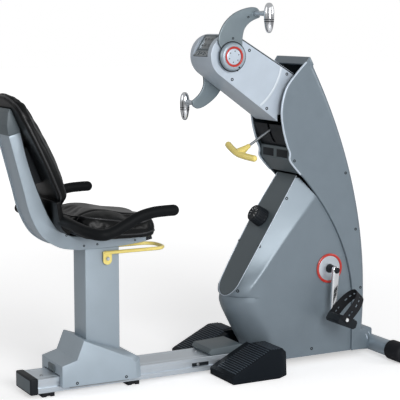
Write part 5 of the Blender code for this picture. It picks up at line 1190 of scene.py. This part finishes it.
class BIKE_OT_console(Build, bpy.types.Operator):
    """Builds the console's housing, its display window with plain figures, and the keys"""

    bl_idname = "bike.console"
    bl_label = "Console"

    def build(self, sizes):
        holes = [rod(HUB, 0.0535, -0.07, 0.07, 1, 64)]
        for y, half in KEYS.values():
            pocket = oval((KEY_ROW, y), 0.0054, half + 0.0004)
            holes.append(capped([on_console(pocket, -0.0070), on_console(pocket, 0.01)]))
        piece("console_case", "arm", "dark", console_plate(0, 0.093, -0.024, 0, 0.055),
              "console", holes=holes, edge=0.0016)
        parts = [console_plate(a, a + 0.0017, -0.0004, 0.0011, 0.0430) for a in (0.0045, 0.0605)]
        parts += [console_plate(0.0045, 0.0622, -0.0004, 0.0011, *sorted((s * 0.0413, s * 0.0430)))
                  for s in SIDES.values()]
        piece("console_bezel", "arm", "horn", merge(parts), edge=0.0004)
        piece("console_window", "arm", "display",
              console_plate(0.0062, 0.0605, -0.0004, 0.0006, 0.0413), edge=0.0002)
        # Two plain figures at each place: three bars across and two down, in millimetres
        bars = [(-5, -4.4, -2, 2), (-0.3, 0.3, -2, 2), (4.4, 5, -2, 2)]
        bars += [(-4.7, 4.7, c, c + 0.5) for c in (-2.3, 1.8)]
        figures = []
        for row in (0.020, 0.046):
            for y in (-0.022, 0.004, 0.026):
                for left in (y - 0.00375, y + 0.00375):
                    figures += [
                        console_plate(row + a / 1000, row + b / 1000, 0.0004, 0.00085,
                                      left + c / 1000, left + d / 1000)
                        for a, b, c, d in bars
                    ]
        piece("console_figures", "arm", "black", merge(figures))
        facing = CONSOLE_ANGLE + pi / 2
        segment = arc(HUB, DRUM_RADIUS - 0.0015, facing - radians(29), facing + radians(29), 28)
        cheeks = [slab(segment, side, 0.0556, 0.0592) for side in SIDES.values()]
        piece("console_cheeks", "arm", "arm", merge(cheeks))
        rings = [console_ring(y, 0.0056, half + 0.0006, 0.0009, 0.0008) for y, half in KEYS.values()]
        rings.append(console_ring(0.0, 0.0095, 0.0485, 0.0008, 0.0006))
        piece("console_rings", "arm", "white", merge(rings))
        # A key's rings: how far in from its edge, and how high over the face
        levels = mm(0, -5.5, 0, 0.4, 0.4, 1, 1.2, 1.4, 2.4, 1.5)
        for name, (y, half) in KEYS.items():
            loops = [on_console(oval((KEY_ROW, y), 0.005 - i, half - i), d) for i, d in levels]
            piece(name + "_cap", name, "dark", capped(loops), name)


def hand_lead(side):
    """The direction of a hand crank."""
    return HAND_ANGLE if side < 0 else HAND_ANGLE + HAND_OPPOSITION


def hand_tip(side):
    """The side-view place of a handle's pin."""
    return around(HUB, HAND_RADIUS, hand_lead(side))


class BIKE_OT_hand_cranks(Build, bpy.types.Operator):
    """Builds the two horn-shaped hand cranks, the ringed hubs on them and the handle pins"""

    bl_idname = "bike.hand_cranks"
    bl_label = "Hand cranks"

    def build(self, sizes):
        hub = mm(37.8, 112.2, 40, 112.6, 44, 112, 48, 110, 50.5, 106.5, 52.5, 101, 54, 97.2, 54, 88,
                 10.5, 88, 10.5, 108.5, 30, 108.5, 37.8, 108.5)
        rim = mm(54.1, 96.6, 54.1, 99.5, 55, 100.4, 56.2, 99.5, 56.6, 96.6)
        ring = mm(30, 108.6, 30, 112.2, 31.2, 113.6, 33.8, 114.2, 36.4, 113.6, 37.6, 112.2, 37.6, 108.6)
        disc = mm(0, 111.2, 20, 111.2, 27.5, 110.8, 29.3, 110, 29.6, 108.6, 0, 108.6)
        shaft = mm(0, 202, 3.8, 202, 4.5, 201, 4.5, 94, 0, 94)
        joint = mm(4.7, 169, 8.5, 169, 9.8, 167.8, 10.2, 156, 9, 130, 9.6, 98.5, 4.7, 98.5)
        dot = mm(0, 111.3, 1.4, 111.3, 1.9, 111.6, 2.3, 111, 0, 110)
        pin = mm(0, 114.2, 2.6, 114.2, 3, 113.5, 3, 108, 0, 108)
        for name, side in SIDES.items():
            lead, tip = hand_lead(side), hand_tip(side)
            edges = []
            for points, count in ((HORN_OUTER, 44), (HORN_INNER, 38)):
                pairs = [around((0, 0), d, lead + radians(t)) for d, t in points]
                edges.append(smooth_path(pairs, count) + np.array(HUB))
            first = lead + radians(HORN_INNER[-1][1])
            last = lead + radians(HORN_OUTER[0][1]) - 2 * pi
            outline = np.concatenate([*edges, arc(HUB, 0.050, first, last, 40)[1:-1]])
            # The horn's rim faces, which don't face sideways, take the dark grey finish: painted shade
            # on its edges.
            piece("horn_" + name, "hand_crank", "horn",
                  slab(outline, side, 0.0875, 0.0965), "hand_plate_" + name, edge=0.0032, segments=4,
                  limit=50, second=("dark", lambda centre, normal: abs(normal.y) < 0.55))
            turned_pieces(name, side, "hand_crank", (
                ("hub_body", "silver_cover", "paint", "", HUB, 96, hub),
                ("hub_rim", "black_plastic", "black", "", HUB, 96, rim),
                ("hub_ring", "aluminium", "red", "", HUB, 96, ring),
                ("hub_disc", "aluminium", "arm", "", HUB, 96, disc),
                ("handle_pin", "chrome", "chrome", "", tip, 28, shaft),
                ("handle_joint", "steel", "disc", "", tip, 40, joint),
            ))
            dots = [along_y(dot, around(HUB, 0.0205, radians(60 * k + 20)), side, 20) for k in range(6)]
            dots.append(along_y(pin, around(HUB, 0.045, radians(-62)), side, 20))
            piece("hub_holes_" + name, "hand_crank", "black", merge(dots))


class BIKE_OT_handles(Build, bpy.types.Operator):
    """Builds the two polished spindle handles with their dark rings"""

    bl_idname = "bike.handles"
    bl_label = "Handles"

    def build(self, sizes):
        radius, above, below = 0.019, 0.0385, 0.0715
        upper, lower = np.linspace(pi / 2, 0, 26)[1:], np.linspace(0, pi / 2, 40)[1:-1]
        profile = [(0, above)] + [(radius * cos(a) ** 0.75, above * sin(a)) for a in upper]
        profile += [(radius * cos(a) ** 0.7, -below * sin(a)) for a in lower] + [(0, -below)]
        section = mm(-1, 1.9, 0.4, 1.4, 0.8, 0, 0.3, -1.4, -1, -1.9)
        for name, side in SIDES.items():
            tip = hand_tip(side)
            centre = at([tip], side * 0.190)[0]
            piece("grip_" + name, "handle_" + name, "chrome",
                  turn_round(profile, centre, (0, 0, 1), 64), "handle_" + name,
                  holes=[rod(tip, 0.0049, 0.150, 0.2026, side, 28)])
            rings = []
            for drop in (0.0225, 0.0300):
                near = radius * cos(asin(drop / below)) ** 0.7
                ring = [(near + a, b - drop) for a, b in section]
                rings.append(turn_round(ring, centre, (0, 0, 1), 64))
            piece("grip_rings_" + name, "handle_" + name, "black", merge(rings))


class BIKE_OT_clamp(Build, bpy.types.Operator):
    """Builds the yellow T-handle that clamps the arm, on its rod"""

    bl_idname = "bike.clamp"
    bl_label = "Clamp handle"

    def build(self, sizes):
        outward = np.array((-cos(LOCK_ANGLE), 0, -sin(LOCK_ANGLE)))
        crossing = at([LOCK_CROSSING], 0)[0]
        grip = crossing + outward * 0.149
        turn = radians(17)
        across = np.array((-sin(LOCK_ANGLE) * sin(turn), cos(turn), cos(LOCK_ANGLE) * sin(turn)))
        path = [
            grip + across * (0.093 * s) + outward * (-0.006 + 0.019 * (1 - abs(s) ** 1.5))
            for s in np.linspace(-1, 1, 41)
        ]
        piece("clamp_grip", "lock_handle", "yellow", tube(path, sizes.grip, 32, domed=True),
              "lock_handle")
        stem = mm(0, 60, 12, 60, 19, 52, 18, 44, 13.5, 28, 10, 12, 8.8, 3, 7.8, 0, 0, 0)
        piece("clamp_stem", "lock_handle", "yellow",
              turn_round(stem, grip - outward * 0.045, outward, 48))
        shaft = mm(0, 200, 5, 200, 5, 1, 4.2, 0, 0, 0)
        piece("clamp_rod", "lock_handle", "steel",
              turn_round(shaft, crossing - outward * 0.074, outward, 32))


class BIKE_OT_knob(Build, bpy.types.Operator):
    """Builds the fluted resistance knob with its printed scale"""

    bl_idname = "bike.knob"
    bl_label = "Resistance knob"

    def build(self, sizes):
        place, normal = knob_seat()
        base, height = place + np.array(normal) * 0.0006, 0.0478
        profile = mm(0, 47.8, 26.2, 47.8, 27.2, 48.4, 29, 48.8, 31.2, 48.2, 33.4, 46, 34.8, 42.5)
        profile += [(0.0350 + 0.0018 * s, 0.0415 - 0.0335 * s) for s in np.linspace(0, 1, 9)]
        profile += mm(37, 6.5, 37, 1, 36, 0, 6, 0, 6, -22, 0, -22)

        def wave(pairs, angles):
            """Flutes: the radius falls by a cubed cosine, only on the knob's side."""
            on_side = (pairs[:, 0] > 0.033) & (pairs[:, 1] > 0.007)
            depth = np.where(on_side, sizes.flute / 0.036, 0)[:, None]
            return 1 - depth * (0.5 + 0.5 * np.cos(18 * angles)[None]) ** 3

        piece("knob", "resistance_knob", "black",
              turn_round(profile, base, normal, 216, wave), "resistance_knob", angle=50)
        up = Vector((cos(PANEL_ANGLE), 0, sin(PANEL_ANGLE)))
        up = (up - normal * up.dot(normal)).normalized()
        right = up.cross(normal)
        top = Vector(base) + normal * height
        marks = []
        for number in range(1, 9):
            angle = radians(215 - (number - 1) * 250 / 7)
            outwards = right * cos(angle) + up * sin(angle)
            marks.append(self.tick(top, normal, outwards))
            marks.append(self.figure(str(number), top + outwards * 0.0168, normal, outwards))
        piece("knob_marks", "resistance_knob", "white", merge(marks))

    def tick(self, top, normal, outwards):
        """A short printed line that points away from the knob's axis."""
        near, far, half = 0.0222, 0.0256, 0.0009
        over = normal.cross(outwards) * half
        ends = (outwards * near - over, outwards * far - over, outwards * far + over,
                outwards * near + over)
        return capped([[top + normal * lift + end for end in ends] for lift in (-0.0002, 0.00015)])

    def figure(self, text, centre, normal, outwards):
        """A printed number as a flat mesh, its top away from the knob's axis."""
        curve = bpy.data.curves.new("figure", "FONT")
        curve.body = text
        curve.size = 0.0098
        curve.extrude = 0.00015
        curve.resolution_u = 4
        curve.align_x = "CENTER"
        curve.align_y = "CENTER"
        obj = bpy.data.objects.new("figure", curve)
        bpy.context.scene.collection.objects.link(obj)
        bpy.context.view_layer.update()
        made = obj.evaluated_get(bpy.context.evaluated_depsgraph_get()).to_mesh()
        turn = Matrix((outwards.cross(normal), outwards, normal)).transposed()
        points = [centre + turn @ v.co for v in made.vertices]
        faces = [tuple(p.vertices) for p in made.polygons]
        bpy.data.objects.remove(obj)
        bpy.data.curves.remove(curve)
        return points, faces


class BIKE_OT_carriage(Build, bpy.types.Operator):
    """Builds the hood over the rail, with its chamfered front, and the post that stands in it"""

    bl_idname = "bike.carriage"
    bl_label = "Carriage"

    def build(self, sizes):
        outer = mm(-1126, 34, -1126, 112, -1068, 128, -1040, 200, -872, 138, -838, 122, -812, 106,
                   -808, 32)
        inner = mm(-1126, 34, -1126, 112, -1068, 128, -1040, 197, -886, 126, -858, 112, -838, 92,
                   -834, 32)
        core = mm(-1122, 0, -1122, 108, -1065, 124, -1037, 196, -874, 134, -841, 118, -816, 103, -812, 0)
        mouth, post = block(-1.2, -0.7, 0, 0.073, 0.075), block(-1.0146, -0.8794, 0.09, 0.3, 0.0556)
        # The hood's rear-facing and upward-facing faces take the darker painted-steel finish: painted
        # shade on the faces turned from the light.
        piece("hood", "seat_carriage", "hood",
              loft([inner, outer, outer, inner], (-0.100, -0.083, 0.083, 0.100)), "carriage_cover",
              holes=[prism(core, -0.080, 0.080), mouth, post], edge=0.0018,
              second=("paint", lambda centre, normal: normal.x < -0.3 or normal.z > 0.4))
        bracket = fillet(mm(-1130, 76, -1130, 98, -1125, 104, -1120, 104, -1120, 76), 0.002)
        piece("hood_bracket", "seat_carriage", "dark", prism(bracket, -0.030, 0.030),
              edge=0.001)
        piece("post_column", "seat_carriage", "paint",
              block(-1.014, -0.880, 0.0826, 0.5217, 0.055), "seat_post",
              holes=[block(-1.008, -0.886, 0.05, 0.515, 0.049)], edge=0.005, segments=4)
        bolt = mm(0, 73.5, 5, 73.5, 6.2, 72.5, 6.8, 70.5, 6.8, 66.2, 4.4, 66, 4.4, 50, 0, 50)
        piece("lever_bolts", "seat_carriage", "disc",
              merge([along_y(bolt, LEVER_BOLT, side, 32) for side in SIDES.values()]))
        support = fillet(mm(-786, 533, -786, 551, -752, 553, -748, 540), 0.003)
        piece("seat_block", "seat_carriage", "black", prism(support, -0.062, 0.062),
              edge=0.001)


class BIKE_OT_seat_frame(Build, bpy.types.Operator):
    """Builds the bent channel under the cushions: side plates, web, rear plate, cap and shroud"""

    bl_idname = "bike.seat_frame"
    bl_label = "Seat frame"

    def build(self, sizes):
        outer, inner = smooth_path(FRAME_OUTER, 90), smooth_path(FRAME_INNER, 90)
        outline = np.concatenate([outer, inner[::-1]])
        for name, side in SIDES.items():
            piece("channel_side_" + name, "seat_carriage", "paint",
                  slab(outline, side, 0.058, 0.065), "seat_frame" if side < 0 else "", edge=0.0016,
                  limit=50)
        piece("channel_web", "seat_carriage", "paint",
              prism(band(inner, -0.0005, -0.0065), -0.0585, 0.0585))
        piece("channel_trim", "seat_carriage", "black",
              prism(band(inner, 0.0030, 0.0002), -0.0632, 0.0632), edge=0.0006, limit=60)
        rear = np.concatenate([beside(outer, 0.004)[:47], beside(outer, 0.0075)[46::-1]])
        piece("channel_back", "seat_carriage", "paint", prism(rear, -0.0577, 0.0577),
              "back_plate", edge=0.0006, limit=60)
        floor = mm(-1020, 522.5, -1020, 528.5, -790, 537, -790, 533.5, -878, 524.2)
        piece("channel_floor", "seat_carriage", "paint", prism(floor, -0.0582, 0.0582),
              edge=0.0004)
        line = beside(smooth_path([row[:2] for row in BACK_PATH], 80), 0.0009)
        face = [p for p in line if 0.957 < p[1] < 1.036]
        wedge = mm(-1297, 940.6, -1254.5, 952.6) + face
        wedge += mm(-1291, 1036, -1298, 1022, -1303, 978)
        piece("frame_wedge", "seat_carriage", "dark",
              prism(fillet(wedge, 0.003), -0.065, 0.065), "frame_top_cap", edge=0.0022, limit=60)
        bracket = [*line[22:46], *mm(-1242.5, 885, -1218.5, 800, -1207, 765)]
        piece("back_bracket", "seat_carriage", "black", prism(bracket, -0.045, 0.045))
        fall = smooth_path(mm(-1146, 712, -1137, 660, -1127, 622, -1104, 597), 24)
        piece("back_shroud", "seat_carriage", "vinyl",
              prism(band(fall, 0.009, -0.009), -0.140, 0.140), edge=0.007, segments=4, limit=50)
        bar = mm(0, 79, 15, 79, 16, 78, 16, -78, 15, -79, 0, -79)
        piece("armrest_tube", "seat_carriage", "black",
              along_y(bar, (-1.121, 0.640), 1, 48))


def cushion_point(path, half_width, taper, dish, u, v, lift=1.0):
    """Points of a cushion: u runs across and v along, from -1 to 1. The padding rises from 30
    percent of the path's thickness at the rim by ((1 - |u|^4)(1 - |v|^6))^0.42, less a dish.
    The outline's corners are drawn in by 20 percent of u^2 v^2."""
    line = np.array(path)
    steps = np.concatenate([[0], np.cumsum(np.hypot(*np.diff(line[:, :2], axis=0).T))])
    reach = 2 * steps / steps[-1] - 1
    corner = 1 - 0.20 * u**2 * v**2
    edge = np.clip((1 - np.abs(u) ** 4) * (1 - np.abs(v) ** 6), 0, 1) ** 0.42
    dip = dish * np.cos(u * pi / 2) ** 2 * edge
    place = v * corner * (1 - 0.045 * (1 - lift))
    ahead, height, turn, thickness = (np.interp(place, reach, line[:, k]) for k in range(4))
    turn = np.radians(turn)
    rise = lift * (thickness * (0.30 + 0.70 * edge) - dip)
    shrink = (1 - 0.05 * (1 - edge)) * lift + 0.94 * (1 - lift)
    over = u * corner * shrink * half_width * (1 + taper * v)
    return np.stack([CRANK_X + ahead + rise * np.cos(turn), over, height + rise * np.sin(turn)], -1)


def cushion_shape(path, half_width, taper, dish, shrink):
    """A closed cushion form: the padded grid over the flat one, joined round their rims."""
    across, along = (np.sin(np.linspace(-pi / 2, pi / 2, count)) for count in (49, 57))
    u, v = np.meshgrid(across, along)
    thin = [(*row[:3], row[3] * shrink) for row in path]
    layers = [
        cushion_point(thin, half_width * shrink, taper, dish, u, v, lift) for lift in (1.0, 0.0)
    ]
    rows, columns = u.shape
    offset = rows * columns
    faces = quads(rows, columns)
    faces += [tuple(offset + k for k in face[::-1]) for face in faces]
    rim = list(range(columns)) + [i * columns + columns - 1 for i in range(1, rows)]
    rim += [(rows - 1) * columns + j for j in range(columns - 2, -1, -1)]
    rim += [i * columns for i in range(rows - 2, 0, -1)]
    faces += [(a, offset + a, offset + b, b) for a, b in zip(rim, rim[1:] + rim[:1])]
    return np.concatenate(layers).reshape(-1, 3), faces


def inflate(obj, board, most):
    """Fills the cushion: air pressure pushes its cover out for 20 frames while the board's side
    is held, and no point moves further than most."""
    scene = bpy.context.scene
    held = obj.vertex_groups.new(name="board")
    before = np.array([v.co for v in obj.data.vertices])
    held.add([int(k) for k in np.nonzero(board(before))[0]], 1.0, "REPLACE")
    cloth = obj.modifiers.new("fill", "CLOTH")
    settings = {"vertex_group_mass": "board", "use_pressure": True, "uniform_pressure_force": 4,
                "mass": 0.4, "tension_stiffness": 20, "compression_stiffness": 20,
                "bending_stiffness": 2}
    for key, value in settings.items():
        setattr(cloth.settings, key, value)
    cloth.settings.effector_weights.gravity = 0
    cloth.collision_settings.use_collision = False
    for step in range(1, 21):
        scene.frame_set(step)
    evaluated = obj.evaluated_get(bpy.context.evaluated_depsgraph_get())
    after = np.empty(len(before) * 3, np.float32)
    evaluated.data.vertices.foreach_get("co", after)
    moved = after.reshape(-1, 3) - before
    reach = np.linalg.norm(moved, axis=1)[:, None]
    moved *= np.minimum(1, most / np.maximum(reach, 1e-9))
    obj.modifiers.clear()
    obj.vertex_groups.clear()
    obj.data.vertices.foreach_set("co", (before + moved).astype(np.float32).ravel())
    obj.data.update()
    scene.frame_set(1)


class BIKE_OT_cushions(Build, bpy.types.Operator):
    """Builds the seat and back cushions, stuffed by a short simulation, with channels and piping"""

    bl_idname = "bike.cushions"
    bl_label = "Cushions"

    def build(self, sizes):
        self.cushion("seat", SEAT_PATH, 0.195, -0.06, 0.008, sizes)
        self.cushion("back", BACK_PATH, 0.165, -0.08, 0.004, sizes)

    def cushion(self, name, path, half_width, taper, dish, sizes):
        """One cushion: its form, the filling, one subdivision, the channels and the piping."""
        obj = mesh_object(name + "_form", *cushion_shape(path, half_width, taper, dish, 0.985))
        modify(obj, "REMESH", mode="VOXEL", voxel_size=0.0055)
        bake(obj)
        line = np.array(path)
        middle = np.stack([CRANK_X + line[:, 0], line[:, 1]], -1)
        turns = np.radians(line[:, 2])
        ways = np.stack([np.cos(turns), np.sin(turns)], -1)

        def depth(points):
            """How far each point lies from the board, along the padding's direction."""
            flat = points[:, [0, 2]]
            nearest = np.argmin(((flat[:, None] - middle[None]) ** 2).sum(-1), axis=1)
            return ((flat - middle[nearest]) * ways[nearest]).sum(-1), ways[nearest]

        inflate(obj, lambda points: depth(points)[0] < 0.004, 0.007)
        modify(obj, "SMOOTH", iterations=6, factor=0.5)
        modify(obj, "SUBSURF", levels=1, render_levels=1)
        bake(obj)
        points, faces = taken(obj)
        height, way = depth(points)
        across = np.abs(points[:, 1]) / half_width
        on_top = np.clip((height - 0.012) / 0.015, 0, 1)
        groove = sizes.channel * np.exp(-(((across - 0.55) / 0.032) ** 2)) * on_top
        points[:, [0, 2]] -= groove[:, None] * way
        made = piece(name + "_pad", "seat_carriage", "vinyl", (points, faces),
                     name + "_cushion", angle=180)
        tree = BVHTree.FromPolygons([tuple(p) for p in points], faces)
        turn = np.linspace(0, 2 * pi, 261)[:-1]
        loops = []
        for size, lift in ((0.90, 1.0), (0.985, 0.35)):
            u, v = (size * np.sign(w) * np.abs(w) ** 0.42 for w in (np.cos(turn), np.sin(turn)))
            high, low = (
                cushion_point(path, half_width * 1.01, taper, dish, u, v, level) for level in (1.0, 0.0)
            )
            wanted = low + (high - low) * lift
            loop = np.array([tree.find_nearest(Vector(p))[0] for p in wanted])
            for _ in range(4):
                loop = (np.roll(loop, 1, 0) + 2 * loop + np.roll(loop, -1, 0)) / 4
            loops.append(tube(loop, sizes.piping, 10, closed=True))
        piece(name + "_piping", "seat_carriage", "piping", merge(loops))


class BIKE_OT_armrests(Build, bpy.types.Operator):
    """Builds the two foam-covered armrests"""

    bl_idname = "bike.armrests"
    bl_label = "Armrests"

    def build(self, sizes):
        path = smooth_path(ARMREST_PATH, 120)
        for name, side in SIDES.items():
            piece("armrest_foam_" + name, "seat_carriage", "foam",
                  tube(at(path[:, :2], side * path[:, 2]), sizes.foam, 32, domed=True),
                  "armrest_" + name, angle=60)


class BIKE_OT_lever(Build, bpy.types.Operator):
    """Builds the yellow release lever: a looped rod with a flat ear on each side of the post"""

    bl_idname = "bike.lever"
    bl_label = "Release lever"

    def build(self, sizes):
        half, level, front, corner = 0.063, 0.503, -0.690, 0.045
        rear = front - corner
        path = [(x, -half) for x in np.linspace(-0.942, rear, 12)]
        path += [
            (rear + corner * sin(a), -half + corner * (1 - cos(a)))
            for a in np.linspace(0, pi / 2, 14)[1:]
        ]
        path += [(front, y) for y in np.linspace(-half + corner, half - corner, 6)[1:-1]]
        path += [(x, -y) for x, y in path[24::-1]]
        points = [(CRANK_X + x, y, level) for x, y in path]
        piece("lever_rod", "seat_lever", "yellow", tube(points, sizes.rod, 24), "seat_lever")
        x, z = LEVER_BOLT
        wide, foot, top = 0.017, z - 0.006, 0.508
        ear = [(x - wide, top), (x + wide, top), (x + wide, foot)]
        ear += arc((x, foot), wide, 0, -pi, 22)[1:-1] + [(x - wide, foot)]
        ears = [slab(ear, side, 0.061, 0.0652) for side in SIDES.values()]
        piece("lever_ears", "seat_lever", "yellow", merge(ears), edge=0.0012,
              holes=[rod(LEVER_BOLT, 0.005, -0.1, 0.1, 1, 24)], limit=60)


# Screws: the piece, its body, Y of the surface, the radius, side-view places
FASTENERS = (
    ("horn_screws", "hand_crank", 0.0965, 0.0044, mm(-365, 1348, -430, 1270, -411, 1153)),
    ("drive_screws", "base", 0.108, 0.0062, mm(-180, 655.5, -301, 477, -394, 312, -77, 56)),
    ("tower_screws", "base", 0.118, 0.0056, mm(-171, 804, 65, 745, 116.5, 519, 144, 282)),
    ("arm_screws", "arm", ARM_HALF, 0.0060,
     mm(-352, 1225, -187, 1133.5, -425.5, 1118, -275, 1005.5)),
    ("hood_screws", "seat_carriage", 0.100, 0.0056, mm(-1069, 44.6, -875, 43.7)),
    ("frame_screws", "seat_carriage", 0.065, 0.0042, mm(-1089, 579, -1022, 536, -970, 538, -820, 541)),
)


class BIKE_OT_fasteners(Build, bpy.types.Operator):
    """Builds the recessed screws of the covers, and the bolts of the rail"""

    bl_idname = "bike.fasteners"
    bl_label = "Screws and bolts"

    def build(self, sizes):
        # A recessed head: shares of the radius, and heights over the surface
        cup = [(0, -0.0006), (0.35, -0.0006), (0.40, 0.0002), (0.72, 0.0003), (0.86, 0.0007)]
        cup += [(1, 0.0004), (1.05, -0.0012), (0, -0.0012)]
        for name, body, surface, radius, places in FASTENERS:
            shapes = []
            for side in SIDES.values():
                if name == "horn_screws" and side > 0:
                    places = [self.opposite(pair) for pair in places]
                for pair in places:
                    y, axis = surface, (0, side, 0)
                    if name == "drive_screws":
                        y, axis = self.drive_side(pair, side, sizes.lower_half)
                    profile = [(radius * share, height) for share, height in cup]
                    shapes.append(turn_round(profile, at([pair], side * y)[0], axis, 28))
            piece(name, body, "black", merge(shapes), angle=50)
        head = mm(0, 4, 4, 4, 5.2, 3.4, 6.2, 2, 6.4, 0, 0, 0)
        bolts = [along_y(head, (-0.561, 0.043), side, 24, side * 0.0655) for side in SIDES.values()]
        for ahead, y in ((-0.525, 0.021), (-1.180, -0.030)):
            bolts.append(turn_round(head, at([(ahead, 0.0700)], y)[0], (0, 0, 1), 24))
        piece("rail_bolts", "base", "steel", merge(bolts), angle=50)

    def opposite(self, pair):
        """A place on the right hand crank, turned round the hub to the left one."""
        ahead, up = pair[0] - HUB[0], pair[1] - HUB[1]
        return around(HUB, hypot(ahead, up), atan2(up, ahead) + HAND_OPPOSITION)

    def drive_side(self, pair, side, half_width):
        """The drive cover's half width at a side-view place, and its outward direction there."""
        x, z = pair
        step = 0.001

        def half(ahead, up):
            """Half the cover's width near the place, by the cover's own rule."""
            height = z + up
            return float(cover_half(height, x + ahead - cover_start(height)[0], half_width))

        forward = (half(step, 0) - half(-step, 0)) / (2 * step)
        rise = (half(0, step) - half(0, -step)) / (2 * step)
        return half(0, 0), (-forward, side, -rise)


class BIKE_OT_inner_parts(Build, bpy.types.Operator):
    """Gives the CAD parts inside the covers their own finishes"""

    bl_idname = "bike.inner_parts"
    bl_label = "Inner parts"

    def build(self, sizes):
        for finish, names in INNER_FINISHES.items():
            for name in names:
                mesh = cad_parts[name].data
                mesh.materials.clear()
                mesh.materials.append(material(finish))


class BIKE_OT_stage(bpy.types.Operator):
    """Builds the floor, the lights, the white surroundings and the camera of the photograph"""

    bl_idname = "bike.stage"
    bl_label = "Stage"

    def execute(self, context):
        scene = context.scene
        size = 30.0
        points = [(-size, -size, 0), (size, -size, 0), (size, size, 0), (-size, size, 0)]
        floor = mesh_object("floor", points, [(0, 1, 2, 3)])
        if floor.data.polygons[0].normal.z < 0:
            floor.data.flip_normals()
        floor.location.z = -0.0005
        floor.data.materials.append(self.ground())
        floor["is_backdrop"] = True
        self.surroundings(scene)
        self.light(scene, "key", (-0.6, -5.0, 2.2), (0.0, 0.0, 0.6), 2.2, 165)
        self.light(scene, "side", (3.6, -2.2, 2.2), (0.3, 0.0, 0.7), 1.6, 30)
        self.light(scene, "rear", (-4.5, 0.6, 2.4), (0.0, 0.0, 0.7), 1.8, 28)
        self.camera(scene)
        scene.view_settings.view_transform = "Standard"
        return {"FINISHED"}

    def ground(self):
        """The pale floor. It glows for the camera alone, more from one metre to five metres out,
        so that it is white far off and throws little light up."""
        ground = material("floor")
        tree = ground.node_tree
        reach = add(tree, "VectorMath", {0: add(tree, "TexCoord")["Object"]}, operation="LENGTH")
        outward = add(tree, "MapRange", {"Value": reach["Value"], "From Min": 1.0, "From Max": 5.0,
                                         "To Min": 0.50, "To Max": 0.90})["Result"]
        seen = add(tree, "LightPath")["Is Camera Ray"]
        glow = add(tree, "Math", {0: outward, 1: seen}, operation="MULTIPLY")[0]
        inputs = {"Emission Color": (1, 1, 1, 1), "Emission Strength": glow}
        feed(tree, tree.nodes["Principled BSDF"], inputs)
        return ground

    def surroundings(self, scene):
        """White where the camera looks, softer in mirrors and as light."""
        world = bpy.data.worlds.new("surroundings")
        world.use_nodes = True
        scene.world = world
        tree = world.node_tree
        path = add(tree, "LightPath")
        inputs = {"Value": path["Is Glossy Ray"], "To Min": 0.24, "To Max": 0.48}
        mirrored = add(tree, "MapRange", inputs)["Result"]
        level = add(tree, "Math", {0: path["Is Camera Ray"], 1: mirrored}, operation="MAXIMUM")[0]
        feed(tree, tree.nodes["Background"], {"Color": (1, 1, 1, 1), "Strength": level})

    def light(self, scene, name, place, target, size, power):
        """A square soft light that points at a place."""
        data = bpy.data.lights.new(name, "AREA")
        data.size = size
        data.energy = power
        obj = bpy.data.objects.new(name, data)
        obj.location = place
        way = Vector(target) - Vector(place)
        obj.rotation_euler = way.to_track_quat("-Z", "Y").to_euler()
        scene.collection.objects.link(obj)
        obj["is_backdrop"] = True

    def camera(self, scene):
        """The photograph's view: 28 degrees round to the rear and 7.8 degrees down. The near
        crank disc is 5.14 m away, 130.7 pixels right of the picture's middle and 68.6 under it."""
        focal, width, depth = 1310, 400, 5.14
        turn, down = radians(-28), radians(7.8)
        data = bpy.data.cameras.new("camera")
        data.sensor_width = 36
        data.lens = focal / width * data.sensor_width
        data.clip_end = 50
        obj = bpy.data.objects.new("camera", data)
        right = Vector((cos(turn), sin(turn), 0))
        view = Vector((-sin(turn) * cos(down), cos(turn) * cos(down), -sin(down)))
        up = right.cross(view)
        obj.rotation_euler = Matrix((right, up, -view)).transposed().to_euler()
        pixel = depth / focal
        disc = Vector((CRANK_X, -0.12, CRANK[1]))
        obj.location = disc - right * (130.7 * pixel) + up * (68.6 * pixel) - view * depth
        scene.collection.objects.link(obj)
        scene.camera = obj


OPERATORS = (
    BIKE_OT_tower, BIKE_OT_drive_covers, BIKE_OT_neck, BIKE_OT_stabiliser, BIKE_OT_rail,
    BIKE_OT_ramps, BIKE_OT_cranks, BIKE_OT_pedals, BIKE_OT_arm, BIKE_OT_console,
    BIKE_OT_hand_cranks, BIKE_OT_handles, BIKE_OT_clamp, BIKE_OT_knob, BIKE_OT_carriage,
    BIKE_OT_seat_frame, BIKE_OT_cushions, BIKE_OT_armrests, BIKE_OT_lever, BIKE_OT_fasteners,
    BIKE_OT_inner_parts, BIKE_OT_stage,
)


class BIKE_PT_main(bpy.types.Panel):
    """The bike's operators, sizes and colours in the sidebar"""

    bl_idname = "BIKE_PT_main"
    bl_label = "Recumbent bike"
    bl_space_type = "VIEW_3D"
    bl_region_type = "UI"
    bl_category = "Bike"

    def draw(self, context):
        layout = self.layout
        for operator in OPERATORS:
            layout.operator(operator.bl_idname)
        for group in (context.scene.bike_sizes, context.scene.bike_colours):
            column = layout.column()
            for name in group.__annotations__:
                column.prop(group, name)


CLASSES = (BikeColours, BikeSizes, *OPERATORS, BIKE_PT_main)


def register():
    """Registers the classes and puts the sizes and colours on the scene."""
    for made in CLASSES:
        bpy.utils.register_class(made)
    bpy.types.Scene.bike_colours = bpy.props.PointerProperty(type=BikeColours)
    bpy.types.Scene.bike_sizes = bpy.props.PointerProperty(type=BikeSizes)


def unregister():
    """Takes them away again."""
    del bpy.types.Scene.bike_sizes
    del bpy.types.Scene.bike_colours
    for made in reversed(CLASSES):
        bpy.utils.unregister_class(made)


def corners():
    """The shown object's lowest and highest corner, as plain lists."""
    return [[float(value) for value in corner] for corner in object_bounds()]


def main():
    """Builds everything in order."""
    register()
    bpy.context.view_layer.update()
    for operator in OPERATORS:
        getattr(bpy.ops.bike, operator.bl_idname.split(".")[1])()


if __name__ == "__main__":
    main()
